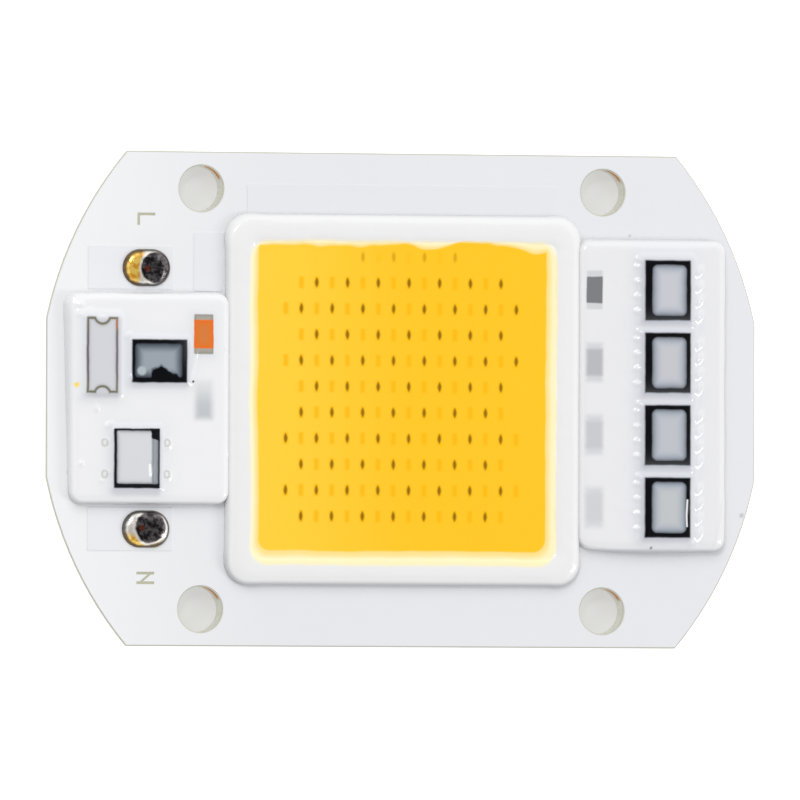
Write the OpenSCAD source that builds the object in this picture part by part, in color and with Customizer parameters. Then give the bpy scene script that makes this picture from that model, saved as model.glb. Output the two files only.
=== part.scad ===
// Mains-powered chip-on-board light: a square bed of LED chips under phosphor, ringed by a silicone dam,
// with the rectifier and its surge parts potted on one side and the current drivers potted on the other.
// X runs along the board, Y across it and Z up from the back face. The origin is the middle of the back face.

/* [Light bed] */
// Width of the phosphor bed at its foot, along X
bed_w = 24.8; // [22:0.2:30]
// Length of the phosphor bed at its foot, along Y
bed_l = 24.8; // [22:0.2:30]
// Width of the dam's bead at its foot
dam_w = 2.6; // [2:0.1:3.4]
// Height of the dam's crest above the solder mask
dam_h = 1.0; // [0.8:0.05:1.4]
// Radius of the dam's inner corners at its foot
dam_corner = 0.4; // [0.2:0.1:1.5]
// Drop from the dam's crest to the surface of the phosphor
bed_drop = 0.2; // [0.1:0.05:0.35]

/* [LED chips] */
// Chips in a wide row
wide_row_chips = 16; // [12:1:18]
// Chips in the short row above the others
short_row_chips = 7; // [3:1:11]
// Number of full rows
chip_rows = 10; // [6:1:11]
// From the side of the bed to the middle of a wide row's end chip
chip_margin_x = 2.65; // [2:0.05:3.5]
// From the end of the bed to the middle of the first and last full rows
chip_margin_y = 2.95; // [2.8:0.05:4]
// Width of a chip, along its row
chip_w = 0.42; // [0.35:0.01:0.6]
// Length of a chip, across its row
chip_l = 0.95; // [0.6:0.05:1.2]
// Thickness of a chip
chip_t = 0.15; // [0.1:0.01:0.25]
// Thickness of a bond wire
wire_t = 0.04; // [0.03:0.005:0.06]
// Rise of a bond wire's loop above the chips
wire_rise = 0.2; // [0.1:0.02:0.3]
// Length of the stitch at each end of a bond wire
wire_stitch = 0.1; // [0.06:0.01:0.14]
// From the middle of a chip to the middle of a stitch on it
stitch_offset = 0.12; // [0.1:0.01:0.14]
// Width of a plated bond pad, along its row
bond_pad_w = 0.5; // [0.4:0.05:0.6]
// Length of a plated bond pad, across its row
bond_pad_l = 0.8; // [0.5:0.05:1.2]

/* [Board] */
// Thickness of the aluminium core
core_t = 1.5; // [0.8:0.1:3]
// Thickness of the insulating layer on the core
insulation_t = 0.1; // [0.05:0.01:0.2]
// Thickness of the copper
copper_t = 0.07; // [0.035:0.005:0.14]
// Thickness of the solder mask over the copper
mask_t = 0.03; // [0.02:0.005:0.06]
// Height at which the mask stands up over the wide copper areas
relief_t = 0.03; // [0.01:0.005:0.06]
// From the dam's foot to each long edge of the board
edge_margin_y = 5.0; // [4.4:0.1:8]
// From the left potting to the board's left end
edge_margin_left = 1.7; // [0.6:0.1:4]
// From the right potting to the board's right end
edge_margin_right = 2.65; // [0.6:0.05:4]
// From the right potting's corners to the round ends of the board
round_end_margin = 0.3; // [0.2:0.02:2]
// Diameter of the four screw holes
hole_d = 3.7; // [2.6:0.1:4.2]
// From the dam's foot to the middle of a screw hole, along X and along Y
hole_offset = 2.0; // [1.8:0.1:2.4]
// Setback of the solder mask from the board's outline and from the holes
mask_setback = 0.1; // [0.05:0.01:0.25]
// Width of a narrow track
track_w = 0.9; // [0.6:0.05:1]
// Gap between the wide copper bus above the bed and the mask around each upper screw hole
bus_hole_gap = 1.95; // [0.6:0.05:4]
// From the wide copper bus to the board's upper edge
bus_edge_gap = 2.65; // [1:0.05:4]
// Width of the wide copper area beside the dam's upper left corner
corner_copper_w = 2.4; // [1:0.1:2.8]
// Gap between that area and the dam's foot
corner_copper_gap = 0.2; // [0.1:0.05:0.4]
// From that area's upper end up to the level of the dam's upper foot
corner_copper_drop = 1.6; // [1.4:0.1:3]

/* [Terminal pads] */
// Width of a terminal pad, along X
pad_w = 4.0; // [3:0.1:4.4]
// Length of a terminal pad, along Y
pad_l = 3.0; // [2.4:0.1:3.4]
// From the left potting's outer side to the middle of the terminal pads
pad_inset = 6.67; // [6:0.01:7.5]
// Gap between the left potting and each terminal pad
pad_gap = 0.45; // [0.3:0.05:1]
// Height of the solder dome on a pad, above the solder mask
pad_dome_h = 0.62; // [0.3:0.02:0.9]
// Reach of the copper past a pad on its outer side
pad_copper_out = 2.85; // [2.4:0.05:3]
// Reach of the copper past a pad on its inner side and its ends
pad_copper_rim = 0.22; // [0.1:0.02:0.4]
// Gap from a terminal pad to its letter
letter_gap = 1.95; // [1:0.05:2.4]
// Height of a terminal letter, which lies on its side
letter_h = 1.5; // [1:0.1:2]
// Width of a terminal letter
letter_w = 1.0; // [0.7:0.1:1.3]
// Width of a letter's strokes
letter_stroke = 0.22; // [0.15:0.01:0.3]

/* [Potting] */
// Height of the potting above the solder mask, away from its rims
potting_h = 1.05; // [0.9:0.05:1.4]
// Radius of the potting's corners seen from above
potting_corner = 0.7; // [0.4:0.1:1.2]
// Width over which a rim of the potting falls away
potting_rim = 1.1; // [0.7:0.05:1.3]
// Thickness of the silicone film on top of the tall parts
film_t = 0.06; // [0.04:0.01:0.12]
// Width of the silicone skirt around a tall part
skirt_w = 0.45; // [0.3:0.05:0.6]
// Overlap of the potting onto the foot of the dam's bead
potting_lap = 0.35; // [0.2:0.05:0.5]

/* [Soldering] */
// Thickness of the solder under a terminal
solder_t = 0.04; // [0.03:0.005:0.08]
// Reach of a solder fillet past a chip part's end
chip_toe = 0.35; // [0.2:0.05:0.5]
// Reach of a solder fillet past a lead's toe
lead_toe = 0.25; // [0.15:0.05:0.35]
// Width that a land has to spare beside a lead
land_spare = 0.12; // [0.04:0.02:0.2]
// Thickness of the leads
lead_t = 0.2; // [0.12:0.02:0.26]
// Length of the flat foot of a lead
lead_foot = 0.5; // [0.4:0.05:0.65]
// Gap between the board side of a package and the lands' solder
standoff = 0.1; // [0.04:0.01:0.2]
// Draft of a moulded package, from its middle to its top and bottom
package_draft = 0.12; // [0.05:0.01:0.2]

/* [Fuse] */
// Width of the fuse, along X
fuse_w = 2.65; // [2:0.05:3.2]
// Length of the fuse, along Y
fuse_l = 6.15; // [5:0.05:7]
// Height of the fuse
fuse_h = 1.5; // [1.2:0.05:2.2]
// Radius of the half-round notch in each end
notch_r = 0.57; // [0.4:0.01:0.8]
// Depth of the notch
notch_depth = 0.45; // [0.3:0.01:0.5]
// Thickness of the metal plating on the end terminals
plating_t = 0.06; // [0.04:0.01:0.1]
// Length of the fuse's terminals on its underside
fuse_terminal_l = 1.2; // [0.8:0.05:1.6]

/* [Surge suppressor] */
// Length of the suppressor's body, along X
suppressor_l = 4.65; // [4:0.05:5.2]
// Width of the suppressor's body, along Y
suppressor_w = 3.5; // [2.8:0.05:4]
// Height of the suppressor's body
suppressor_h = 1.1; // [0.9:0.05:1.8]
// Width of the suppressor's tabs
tab_w = 2.0; // [1.4:0.05:2.6]
// Reach of a tab past the body
tab_reach = 0.25; // [0.22:0.01:0.27]
// Length of a tab under the body
tab_foot = 0.9; // [0.6:0.05:1.2]
// Middle of the suppressor below the middle of the fuse, along Y
suppressor_drop = 0.45; // [0:0.05:1]

/* [Chip parts] */
// Width of the input capacitor, along X
capacitor_w = 1.6; // [1.2:0.05:1.8]
// Length of the input capacitor, along Y
capacitor_l = 3.2; // [2.6:0.05:3.6]
// Height of the input capacitor
capacitor_h = 1.1; // [0.8:0.05:1.4]
// Middle of the capacitor above the middle of the fuse, along Y
capacitor_lift = 1.75; // [1:0.05:2]
// Width of the bleed resistor, along X
bleeder_w = 1.55; // [1.2:0.05:1.8]
// Length of the bleed resistor, along Y
bleeder_l = 3.1; // [2.4:0.05:3.4]
// Gap between the capacitor and the bleed resistor
bleeder_gap = 2.3; // [1.2:0.05:3]
// Middle of the bleed resistor towards the dam from the middle of the capacitor, along X
bleeder_shift = 0.25; // [0:0.05:0.3]
// Width of a set resistor, along X
set_resistor_w = 1.55; // [1.2:0.05:1.8]
// Length of a set resistor, along Y
set_resistor_l = 3.15; // [2.6:0.05:3.4]
// Height of the resistors
resistor_h = 0.55; // [0.4:0.05:0.7]
// Length of the metal cap at each end of a chip part
cap_l = 0.5; // [0.3:0.05:0.7]
// Wall of the metal cap
cap_wall = 0.04; // [0.02:0.01:0.08]

/* [Bridge rectifier] */
// Width of the rectifier's body, along X
bridge_w = 3.85; // [3.2:0.05:4.4]
// Length of the rectifier's body, along Y
bridge_l = 4.83; // [4.2:0.05:5.4]
// Height of the rectifier's body
bridge_h = 1.2; // [1:0.05:1.6]
// Distance over the toes of the rectifier's leads
bridge_span = 6.4; // [6:0.05:6.8]
// Pitch of the rectifier's leads
bridge_pitch = 2.54; // [2.1:0.02:3]
// Width of the rectifier's leads
bridge_lead_w = 0.65; // [0.5:0.05:0.9]
// From the left potting's outer side to the toes of the rectifier's outer leads
bridge_inset = 2.35; // [1.7:0.05:3]

/* [Current drivers] */
// Number of current drivers
driver_count = 4; // [4]
// Width of a driver's body, along X
driver_w = 3.9; // [3.4:0.05:4.2]
// Length of a driver's body, along Y
driver_l = 4.9; // [4.5:0.05:5.4]
// Height of a driver's body
driver_h = 1.4; // [1.1:0.05:1.6]
// Distance over the toes of a driver's leads
driver_span = 6.0; // [5.6:0.05:6.4]
// Pitch of a driver's leads
driver_pitch = 1.27; // [1.1:0.01:1.35]
// Width of a driver's leads
driver_lead_w = 0.42; // [0.3:0.01:0.55]
// Gap between two drivers, along Y
driver_gap = 0.98; // [0.6:0.01:1.4]

/* [Spacing] */
// Gap between the dam's foot and the input capacitor
dam_capacitor_gap = 1.3; // [0.7:0.05:1.6]
// Gap between the capacitor and the surge suppressor
capacitor_suppressor_gap = 0.63; // [0.5:0.01:1.2]
// Gap between the surge suppressor and the fuse
suppressor_fuse_gap = 1.22; // [0.9:0.01:1.8]
// Potting beyond the outer side of the fuse
fuse_rim = 1.25; // [1.1:0.01:2.4]
// Potting beyond the upper end of the fuse
fuse_end_rim = 2.075; // [1.6:0.025:2.6]
// Gap between the fuse and the rectifier
fuse_bridge_gap = 2.83; // [2.2:0.01:3.6]
// Potting beyond the lower end of the rectifier
bridge_end_rim = 1.315; // [1.1:0.005:2]
// Middle of the left potting above the middle of the board
left_potting_y = 0; // [-0.5:0.1:0.5]
// Gap between the dam's foot and the set resistors
dam_resistor_gap = 0.4; // [0.35:0.05:1.2]
// Gap between the set resistors and the drivers' inner leads
resistor_driver_gap = 2.15; // [1.2:0.05:3]
// Potting beyond the drivers' outer leads
driver_rim = 2.25; // [1.2:0.05:2.6]
// Potting beyond the body of the first driver
first_driver_rim = 1.7; // [1.1:0.05:2]
// Potting beyond the body of the last driver
last_driver_rim = 1.15; // [1.1:0.05:2]
// Middle of the row of drivers above the middle of the board
drivers_y = 0.25; // [-0.5:0.05:0.5]

/* [Hidden] */
$fn = 64;

// Heights of the layers' upper faces, from the back face up
core_top = core_t;
insulation_top = core_top + insulation_t;
copper_top = insulation_top + copper_t;
mask_top = copper_top + mask_t;
relief_top = mask_top + relief_t;
seat = copper_top + solder_t;
potting_top = mask_top + potting_h;
bed_depth = dam_h - bed_drop;

// The dam: its foot's outer half sizes, its crest line, and the circle whose top is the bead's section
foot_x = bed_w / 2 + dam_w;
foot_y = bed_l / 2 + dam_w;
crest_x = bed_w / 2 + dam_w / 2;
crest_y = bed_l / 2 + dam_w / 2;
bead_r = (dam_w * dam_w / 4 + dam_h * dam_h) / (2 * dam_h);

// The chip grid
narrow_row_chips = wide_row_chips - 2;
chip_pitch = (bed_w - 2 * chip_margin_x) / (wide_row_chips - 1);
row_pitch = (bed_l - 2 * chip_margin_y) / (chip_rows - 1);
top_row_y = bed_l / 2 - chip_margin_y;
short_row_y = top_row_y + row_pitch;

// Parts along X on the left, from the dam out to the board's end
capacitor_x = -foot_x - dam_capacitor_gap - capacitor_w / 2;
suppressor_x = capacitor_x - capacitor_w / 2 - capacitor_suppressor_gap - suppressor_l / 2;
fuse_x = suppressor_x - suppressor_l / 2 - suppressor_fuse_gap - fuse_w / 2;
left_potting_x = fuse_x - fuse_w / 2 - fuse_rim;
bridge_x = left_potting_x + bridge_inset + bridge_span / 2;
pad_x = left_potting_x + pad_inset;

// Parts along Y on the left, from the upper end of the potting down
left_potting_l = fuse_end_rim + fuse_l + fuse_bridge_gap + bridge_l + bridge_end_rim;
left_potting_end = left_potting_y + left_potting_l / 2;
left_potting_start = left_potting_y - left_potting_l / 2;
fuse_y = left_potting_end - fuse_end_rim - fuse_l / 2;
suppressor_y = fuse_y - suppressor_drop;
capacitor_y = fuse_y + capacitor_lift;
bleeder_x = capacitor_x + bleeder_shift;
bleeder_y = capacitor_y - capacitor_l / 2 - bleeder_gap - bleeder_l / 2;
bridge_y = left_potting_start + bridge_end_rim + bridge_l / 2;
live_y = left_potting_end + pad_gap + pad_l / 2;
neutral_y = left_potting_start - pad_gap - pad_l / 2;

// Parts on the right, from the dam out, and the drivers from the first one down
set_resistor_x = foot_x + dam_resistor_gap + set_resistor_w / 2;
driver_x = set_resistor_x + set_resistor_w / 2 + resistor_driver_gap + driver_span / 2;
right_potting_x = driver_x + driver_span / 2 + driver_rim;
driver_step = driver_l + driver_gap;
drivers_end = (driver_count * driver_l + (driver_count - 1) * driver_gap) / 2;
right_potting_end = drivers_y + drivers_end + first_driver_rim;
right_potting_start = drivers_y - drivers_end - last_driver_rim;

// The board's outline: a rectangle cut by one circle
board_left = left_potting_x - edge_margin_left;
board_right = right_potting_x + edge_margin_right;
board_half_l = foot_y + edge_margin_y;
round_end_r = norm([right_potting_x - (board_left + board_right) / 2, right_potting_end]) + round_end_margin;
hole_x = foot_x + hole_offset;
hole_y = foot_y + hole_offset;

// Rim profile of the potting as [inset, height] pairs, which rounds its shoulder in three steps
potting_shoulder = [
    [0, 0],
    [0, potting_h * 0.42],
    [potting_rim * 0.18, potting_h * 0.72],
    [potting_rim * 0.5, potting_h * 0.92],
    [potting_rim, potting_h],
];

// Small allowances in the copper pattern
land_under = 0.75;
suppressor_tab_under = tab_foot + tab_reach + 0.1;
neutral_trunk_w = 2.2;
fused_track_w = 1.6;
relief_gap = 0.1;
loop_steps = 4;

// Soldered terminals as [x, y, direction of the toe, land under the part, toe, land width, fillet height]
function end_joints(x, y, part_l, part_w, under, height) = [
    for (side = [-1, 1]) [x, y + side * part_l / 2, side * 90, under, chip_toe, part_w - 0.1, height]
];
function lead_joints(x, y, span, pitch, count, lead_w) = [
    for (side = [-1, 1])
        for (i = [0 : count - 1])
            [x + side * span / 2, y + (i - (count - 1) / 2) * pitch, 90 - side * 90, lead_foot + 0.1,
             lead_toe, lead_w + land_spare, lead_t * 0.8]
];
function driver_y(i) = drivers_y + drivers_end - driver_l / 2 - i * driver_step;

left_joints = concat(
    end_joints(fuse_x, fuse_y, fuse_l, fuse_w, fuse_terminal_l + 0.05, fuse_h * 0.4),
    end_joints(capacitor_x, capacitor_y, capacitor_l, capacitor_w, land_under, capacitor_h * 0.4),
    end_joints(bleeder_x, bleeder_y, bleeder_l, bleeder_w, land_under, resistor_h * 0.5),
    [for (side = [-1, 1])
        [suppressor_x + side * (suppressor_l / 2 + tab_reach), suppressor_y, 90 - side * 90,
         suppressor_tab_under, lead_toe, tab_w + land_spare, lead_t * 1.5]],
    lead_joints(bridge_x, bridge_y, bridge_span, bridge_pitch, 2, bridge_lead_w)
);
right_joints = [
    for (i = [0 : driver_count - 1])
        each concat(
            end_joints(set_resistor_x, driver_y(i), set_resistor_l, set_resistor_w, land_under, resistor_h * 0.5),
            lead_joints(driver_x, driver_y(i), driver_span, driver_pitch, 4, driver_lead_w)
        )
];

// The rows of chips as [number of chips, y, x of the row's middle]
led_rows = concat(
    [for (k = [0 : chip_rows - 1])
        [k % 5 == 1 || k % 5 == 3 ? wide_row_chips : narrow_row_chips, top_row_y - k * row_pitch, 0]],
    [[short_row_chips, short_row_y, chip_pitch / 2]]
);

// ---- shapes used by more than one part ----

module span_rect(x0, x1, y0, y1) {
    translate([x0, y0]) square([x1 - x0, y1 - y0]);
}

module slab(size, z0, z1) {
    translate([-size.x / 2, -size.y / 2, z0]) cube([size.x, size.y, z1 - z0]);
}

module rounded_rect(x0, x1, y0, y1, r) {
    span_rect(x0 + r, x1 - r, y0, y1);
    span_rect(x0, x1, y0 + r, y1 - r);
    for (x = [x0 + r, x1 - r], y = [y0 + r, y1 - r]) translate([x, y]) circle(r);
}

// A block whose four sides all follow one rim of [inset, height] pairs
module rimmed_block(x0, x1, y0, y1, rim) {
    last = len(rim) - 1;
    intersection() {
        translate([0, y1, 0]) rotate([90, 0, 0]) linear_extrude(y1 - y0)
            polygon(concat([for (p = rim) [x0 + p.x, p.y]], [for (i = [last : -1 : 0]) [x1 - rim[i].x, rim[i].y]]));
        translate([x0, 0, 0]) rotate([90, 0, 90]) linear_extrude(x1 - x0)
            polygon(concat([for (p = rim) [y0 + p.x, p.y]], [for (i = [last : -1 : 0]) [y1 - rim[i].x, rim[i].y]]));
    }
}

// A moulded package with its widest band at mid height, where the leads come out
module package(w, l, h) {
    flank_z = (h - lead_t) / 2;
    rim = [[package_draft, 0], [0, flank_z], [0, h - flank_z], [package_draft, h]];
    translate([0, 0, seat + standoff]) rimmed_block(-w / 2, w / 2, -l / 2, l / 2, rim);
}

// One gull-wing lead from the flank of a package, at x = 0, to its toe, at x = reach
module gull_lead(reach, package_h, w) {
    shoulder_z = standoff + (package_h + lead_t) / 2;
    bend = 0.08;
    shoulder = 0.2;
    heel = reach - lead_foot;
    translate([0, w / 2, seat]) rotate([90, 0, 0]) linear_extrude(w)
        polygon([
            [0, shoulder_z], [shoulder, shoulder_z], [heel, lead_t], [reach, lead_t],
            [reach, 0], [heel - bend, 0], [shoulder - bend, shoulder_z - lead_t], [0, shoulder_z - lead_t],
        ]);
}

module lead_rows(w, h, span, pitch, count, lead_w) {
    for (side = [0, 1], i = [0 : count - 1])
        mirror([side, 0, 0]) translate([w / 2, (i - (count - 1) / 2) * pitch, 0])
            gull_lead((span - w) / 2, h, lead_w);
}

// The ceramic core of a chip part, and the two metal caps around its ends
module chip_core(w, l, h) {
    slab([w - 2 * cap_wall, l - 2 * cap_wall], seat + cap_wall, seat + h - cap_wall);
}

module chip_caps(w, l, h) {
    difference() {
        for (side = [-1, 1])
            translate([0, side * (l - cap_l) / 2, 0]) slab([w, cap_l], seat, seat + h);
        chip_core(w, l, h);
    }
}

module at_joint(joint) {
    translate([joint[0], joint[1]]) rotate(joint[2]) children();
}

module joint_land(joint) {
    at_joint(joint) span_rect(-joint[3], joint[4], -joint[5] / 2, joint[5] / 2);
}

module lands(joints) {
    for (joint = joints) joint_land(joint);
}

// The solder of one terminal: the layer on its land, and the fillet against its toe
module joint_solder(joint) {
    translate([0, 0, copper_top]) linear_extrude(solder_t) joint_land(joint);
    at_joint(joint) translate([0, joint[5] / 2, seat]) rotate([90, 0, 0]) linear_extrude(joint[5])
        polygon([[0, 0], [joint[4], 0], [0, joint[6]]]);
}

module joint_set(joints) {
    for (joint = joints) joint_solder(joint);
}

// ---- the board ----

module board_outline(setback) {
    intersection() {
        span_rect(board_left + setback, board_right - setback, -board_half_l + setback, board_half_l - setback);
        translate([(board_left + board_right) / 2, 0]) circle(round_end_r - setback, $fn = 256);
    }
}

module screw_holes(setback) {
    for (x = [-hole_x, hole_x], y = [-hole_y, hole_y]) translate([x, y]) circle(hole_d / 2 + setback);
}

module board_layer(setback) {
    difference() {
        board_outline(setback);
        screw_holes(setback);
    }
}

module terminal_pad(y) {
    rounded_rect(pad_x - pad_w / 2, pad_x + pad_w / 2, y - pad_l / 2, y + pad_l / 2, pad_l / 2 - 0.01);
}

module pad_copper(y) {
    span_rect(
        pad_x - pad_w / 2 - pad_copper_out, pad_x + pad_w / 2 + pad_copper_rim,
        y - pad_l / 2 - pad_copper_rim, y + pad_l / 2 + pad_copper_rim
    );
}

// The wide copper areas that can be seen as steps in the solder mask
module relief_areas() {
    bus_end = hole_x - hole_d / 2 - mask_setback - bus_hole_gap;
    corner_end = -foot_x - corner_copper_gap;
    span_rect(-bus_end, bus_end, crest_y, board_half_l - bus_edge_gap);
    span_rect(corner_end - corner_copper_w, corner_end, left_potting_end + relief_gap, foot_y - corner_copper_drop);
    pad_copper(live_y);
    pad_copper(neutral_y);
}

module track(from, to, w) {
    low = [min(from.x, to.x) - w / 2, min(from.y, to.y) - w / 2];
    translate(low) square([abs(to.x - from.x) + w, abs(to.y - from.y) + w]);
}

module live_tracks() {
    fuse_land_end = fuse_y + fuse_l / 2;
    fuse_land_start = fuse_y - fuse_l / 2;
    tab_x = suppressor_x - suppressor_l / 2;
    branch_y = suppressor_y - tab_w / 4;
    track([fuse_x, live_y], [fuse_x, fuse_land_end], fused_track_w);
    track([fuse_x, branch_y], [fuse_x, bridge_y + bridge_pitch / 2], fused_track_w);
    track([fuse_x, branch_y], [tab_x, branch_y], track_w);
    track([fuse_x, fuse_land_start], [fuse_x, branch_y], fused_track_w);
}

module neutral_tracks() {
    trunk_end = bridge_y + bridge_l / 2 + fuse_bridge_gap / 2;
    riser_x = suppressor_x + suppressor_l / 2 + 0.1;
    outer_lead_x = bridge_x - bridge_span / 2;
    track([bridge_x, neutral_y], [bridge_x, trunk_end], neutral_trunk_w);
    track([bridge_x, trunk_end], [riser_x, trunk_end], track_w);
    track([riser_x, trunk_end], [riser_x, suppressor_y], track_w);
    track([bridge_x, bridge_y - bridge_pitch / 2], [outer_lead_x, bridge_y - bridge_pitch / 2], track_w);
}

// The bus at each side of the chips, which reaches the bond pads of wide and narrow rows
module chip_bus(side) {
    inner = chip_pitch * narrow_row_chips / 2;
    outer = chip_pitch * (wide_row_chips + 2) / 2;
    middle = side * (inner + outer) / 2;
    track([middle, -top_row_y], [middle, top_row_y], outer - inner);
}

module positive_tracks() {
    lead = [bridge_x + bridge_span / 2, bridge_y + bridge_pitch / 2];
    track(lead, [-bed_w / 2, lead.y], track_w);
    track([-bed_w / 2, lead.y], [-bed_w / 2 + chip_margin_x, lead.y], track_w);
    track([bleeder_x, bleeder_y - bleeder_l / 2], [bleeder_x, lead.y], track_w);
    track([capacitor_x, bleeder_y + bleeder_l / 2], [capacitor_x, capacitor_y - capacitor_l / 2], track_w);
    track([capacitor_x, capacitor_y + capacitor_l / 2], [capacitor_x, left_potting_end + 1], track_w);
    chip_bus(-1);
}

module negative_tracks() {
    lead = [bridge_x + bridge_span / 2, bridge_y - bridge_pitch / 2];
    drop_x = (lead.x - foot_x) / 2;
    ground_x = driver_x + driver_span / 2;
    track(lead, [drop_x, lead.y], track_w);
    track([drop_x, lead.y], [drop_x, -crest_y], track_w);
    track([drop_x, -crest_y], [ground_x, -crest_y], track_w);
    track([ground_x, -crest_y], [ground_x, driver_y(0) + driver_pitch * 1.5], track_w);
}

module driver_tracks() {
    pin_x = driver_x - driver_span / 2;
    pin_reach = driver_pitch * 1.5;
    chip_bus(1);
    for (i = [0 : driver_count - 1]) {
        upper = driver_y(i) + set_resistor_l / 2;
        lower = driver_y(i) - set_resistor_l / 2;
        track([bed_w / 2 - chip_margin_x + 0.5, upper], [set_resistor_x, upper], track_w);
        track([set_resistor_x, lower], [pin_x, lower], track_w);
        track([pin_x, driver_y(i) - pin_reach], [pin_x, driver_y(i) + pin_reach], track_w * 0.7);
    }
}

// The copper to the two ends of the short row
module short_row_tracks() {
    pad_reach = chip_pitch * (short_row_chips + 1) / 2;
    left_pad_x = chip_pitch / 2 - pad_reach;
    right_pad_x = chip_pitch / 2 + pad_reach;
    crossing_y = short_row_y + chip_l;
    track([left_pad_x, short_row_y], [left_pad_x, crest_y], bond_pad_w + 0.2);
    track([right_pad_x, short_row_y], [right_pad_x, crossing_y], bond_pad_w + 0.2);
    track([right_pad_x, crossing_y], [bed_w / 2 - chip_margin_x + 0.5, crossing_y], bond_pad_w);
    track([bed_w / 2 - chip_margin_x + 0.5, crossing_y], [bed_w / 2 - chip_margin_x + 0.5, top_row_y], bond_pad_w);
}

module copper_pattern() {
    relief_areas();
    live_tracks();
    neutral_tracks();
    positive_tracks();
    negative_tracks();
    driver_tracks();
    short_row_tracks();
    lands(left_joints);
    lands(right_joints);
}

// The letters lie on their sides, with their tops towards +X
module letter_l() {
    span_rect(-letter_h / 2, letter_h / 2, letter_w / 2 - letter_stroke, letter_w / 2);
    span_rect(-letter_h / 2, -letter_h / 2 + letter_stroke, -letter_w / 2, letter_w / 2);
}

module letter_n() {
    slant = letter_stroke * 1.3;
    for (y = [-letter_w / 2, letter_w / 2 - letter_stroke])
        span_rect(-letter_h / 2, letter_h / 2, y, y + letter_stroke);
    polygon([
        [-letter_h / 2, -letter_w / 2], [-letter_h / 2 + slant, -letter_w / 2],
        [letter_h / 2, letter_w / 2], [letter_h / 2 - slant, letter_w / 2],
    ]);
}

module letters() {
    letter_offset = pad_l / 2 + letter_gap + letter_w / 2;
    translate([pad_x, live_y + letter_offset]) letter_l();
    translate([pad_x, neutral_y - letter_offset]) letter_n();
}

module bond_pad_areas() {
    for (row = led_rows, side = [-1, 1])
        translate([row[2] + side * chip_pitch * (row[0] + 1) / 2, row[1]])
            square([bond_pad_w, bond_pad_l], center = true);
}

module aluminium_core() {
    color("silver") linear_extrude(core_t) board_layer(0);
}

module insulation_layer() {
    color("darkkhaki") translate([0, 0, core_top]) linear_extrude(insulation_t) board_layer(0);
}

module copper_tracks() {
    color("peru") translate([0, 0, insulation_top]) linear_extrude(copper_t) copper_pattern();
}

module terminal_letters() {
    color("darkgoldenrod") translate([0, 0, insulation_top]) linear_extrude(copper_t) letters();
}

module solder_mask() {
    color("white") {
        translate([0, 0, insulation_top]) linear_extrude(copper_t) difference() {
            board_layer(mask_setback);
            copper_pattern();
            letters();
        }
        translate([0, 0, copper_top]) linear_extrude(mask_t) difference() {
            board_layer(mask_setback);
            terminal_pad(live_y);
            terminal_pad(neutral_y);
            lands(left_joints);
            lands(right_joints);
            bond_pad_areas();
            letters();
        }
        translate([0, 0, mask_top]) linear_extrude(relief_t) difference() {
            relief_areas();
            terminal_pad(live_y);
            terminal_pad(neutral_y);
        }
    }
}

// ---- solder ----

// Half of a dome's section, seen along the pad, with its flat foot on the X axis
module dome_section(r, h) {
    dome_r = (r * r + h * h) / (2 * h);
    intersection() {
        translate([0, h - dome_r]) circle(dome_r);
        span_rect(0, r, 0, h);
    }
}

module pad_solder(y) {
    end_r = pad_l / 2;
    run = pad_w - pad_l;
    fill = relief_top - copper_top;
    color("lightgray") translate([pad_x, y, copper_top]) {
        for (side = [0, 1]) mirror([side, 0, 0]) translate([run / 2, 0, 0]) {
            rotate(-90) rotate_extrude(angle = 180) span_rect(0, end_r, 0, fill);
            translate([0, 0, fill]) rotate(-90) rotate_extrude(angle = 180) dome_section(end_r, pad_dome_h);
        }
        translate([-run / 2, -end_r, 0]) cube([run, pad_l, fill]);
        for (side = [0, 1]) mirror([0, side, 0]) translate([-run / 2, 0, fill]) rotate([90, 0, 90])
            linear_extrude(run) dome_section(end_r, pad_dome_h);
    }
}

module live_pad_solder() {
    pad_solder(live_y);
}

module neutral_pad_solder() {
    pad_solder(neutral_y);
}

module solder_joints() {
    color("lightgray") {
        joint_set(left_joints);
        joint_set(right_joints);
    }
}

// ---- the light bed ----

module bond_pads() {
    color("gainsboro") translate([0, 0, copper_top]) linear_extrude(mask_t) bond_pad_areas();
}

module led_chips() {
    color("lightsteelblue")
        for (row = led_rows, i = [0 : row[0] - 1])
            translate([row[2] + (i - (row[0] - 1) / 2) * chip_pitch, row[1], 0])
                slab([chip_w, chip_l], mask_top, mask_top + chip_t);
}

// A bond wire from x = 0 to x = span, whose far end is lower by drop
module bond_wire(span, drop) {
    half = wire_stitch / 2;
    steps = [for (i = [0 : loop_steps]) i / loop_steps];
    under = [for (u = steps) [half + u * (span - 2 * half), wire_rise * 4 * u * (1 - u) - drop * u]];
    over = [for (u = steps) [-half + u * (span + 2 * half), wire_rise * 4 * u * (1 - u) - drop * u + wire_t]];
    translate([0, wire_t / 2, mask_top + chip_t]) rotate([90, 0, 0]) linear_extrude(wire_t)
        polygon(concat([[-half, 0]], under, [[span + half, -drop]], [for (i = [loop_steps : -1 : 0]) over[i]]));
}

module bond_wires() {
    color("gold")
        for (row = led_rows) translate([row[2], row[1], 0]) {
            for (i = [0 : row[0] - 2])
                translate([(i - (row[0] - 1) / 2) * chip_pitch + stitch_offset, 0, 0])
                    bond_wire(chip_pitch - 2 * stitch_offset, 0);
            for (side = [0, 1])
                mirror([side, 0, 0]) translate([(row[0] - 1) / 2 * chip_pitch + stitch_offset, 0, 0])
                    bond_wire(chip_pitch - stitch_offset, chip_t);
        }
}

module bead_section() {
    intersection() {
        translate([0, dam_h - bead_r]) circle(bead_r);
        span_rect(-dam_w / 2, dam_w / 2, 0, dam_h);
    }
}

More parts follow.
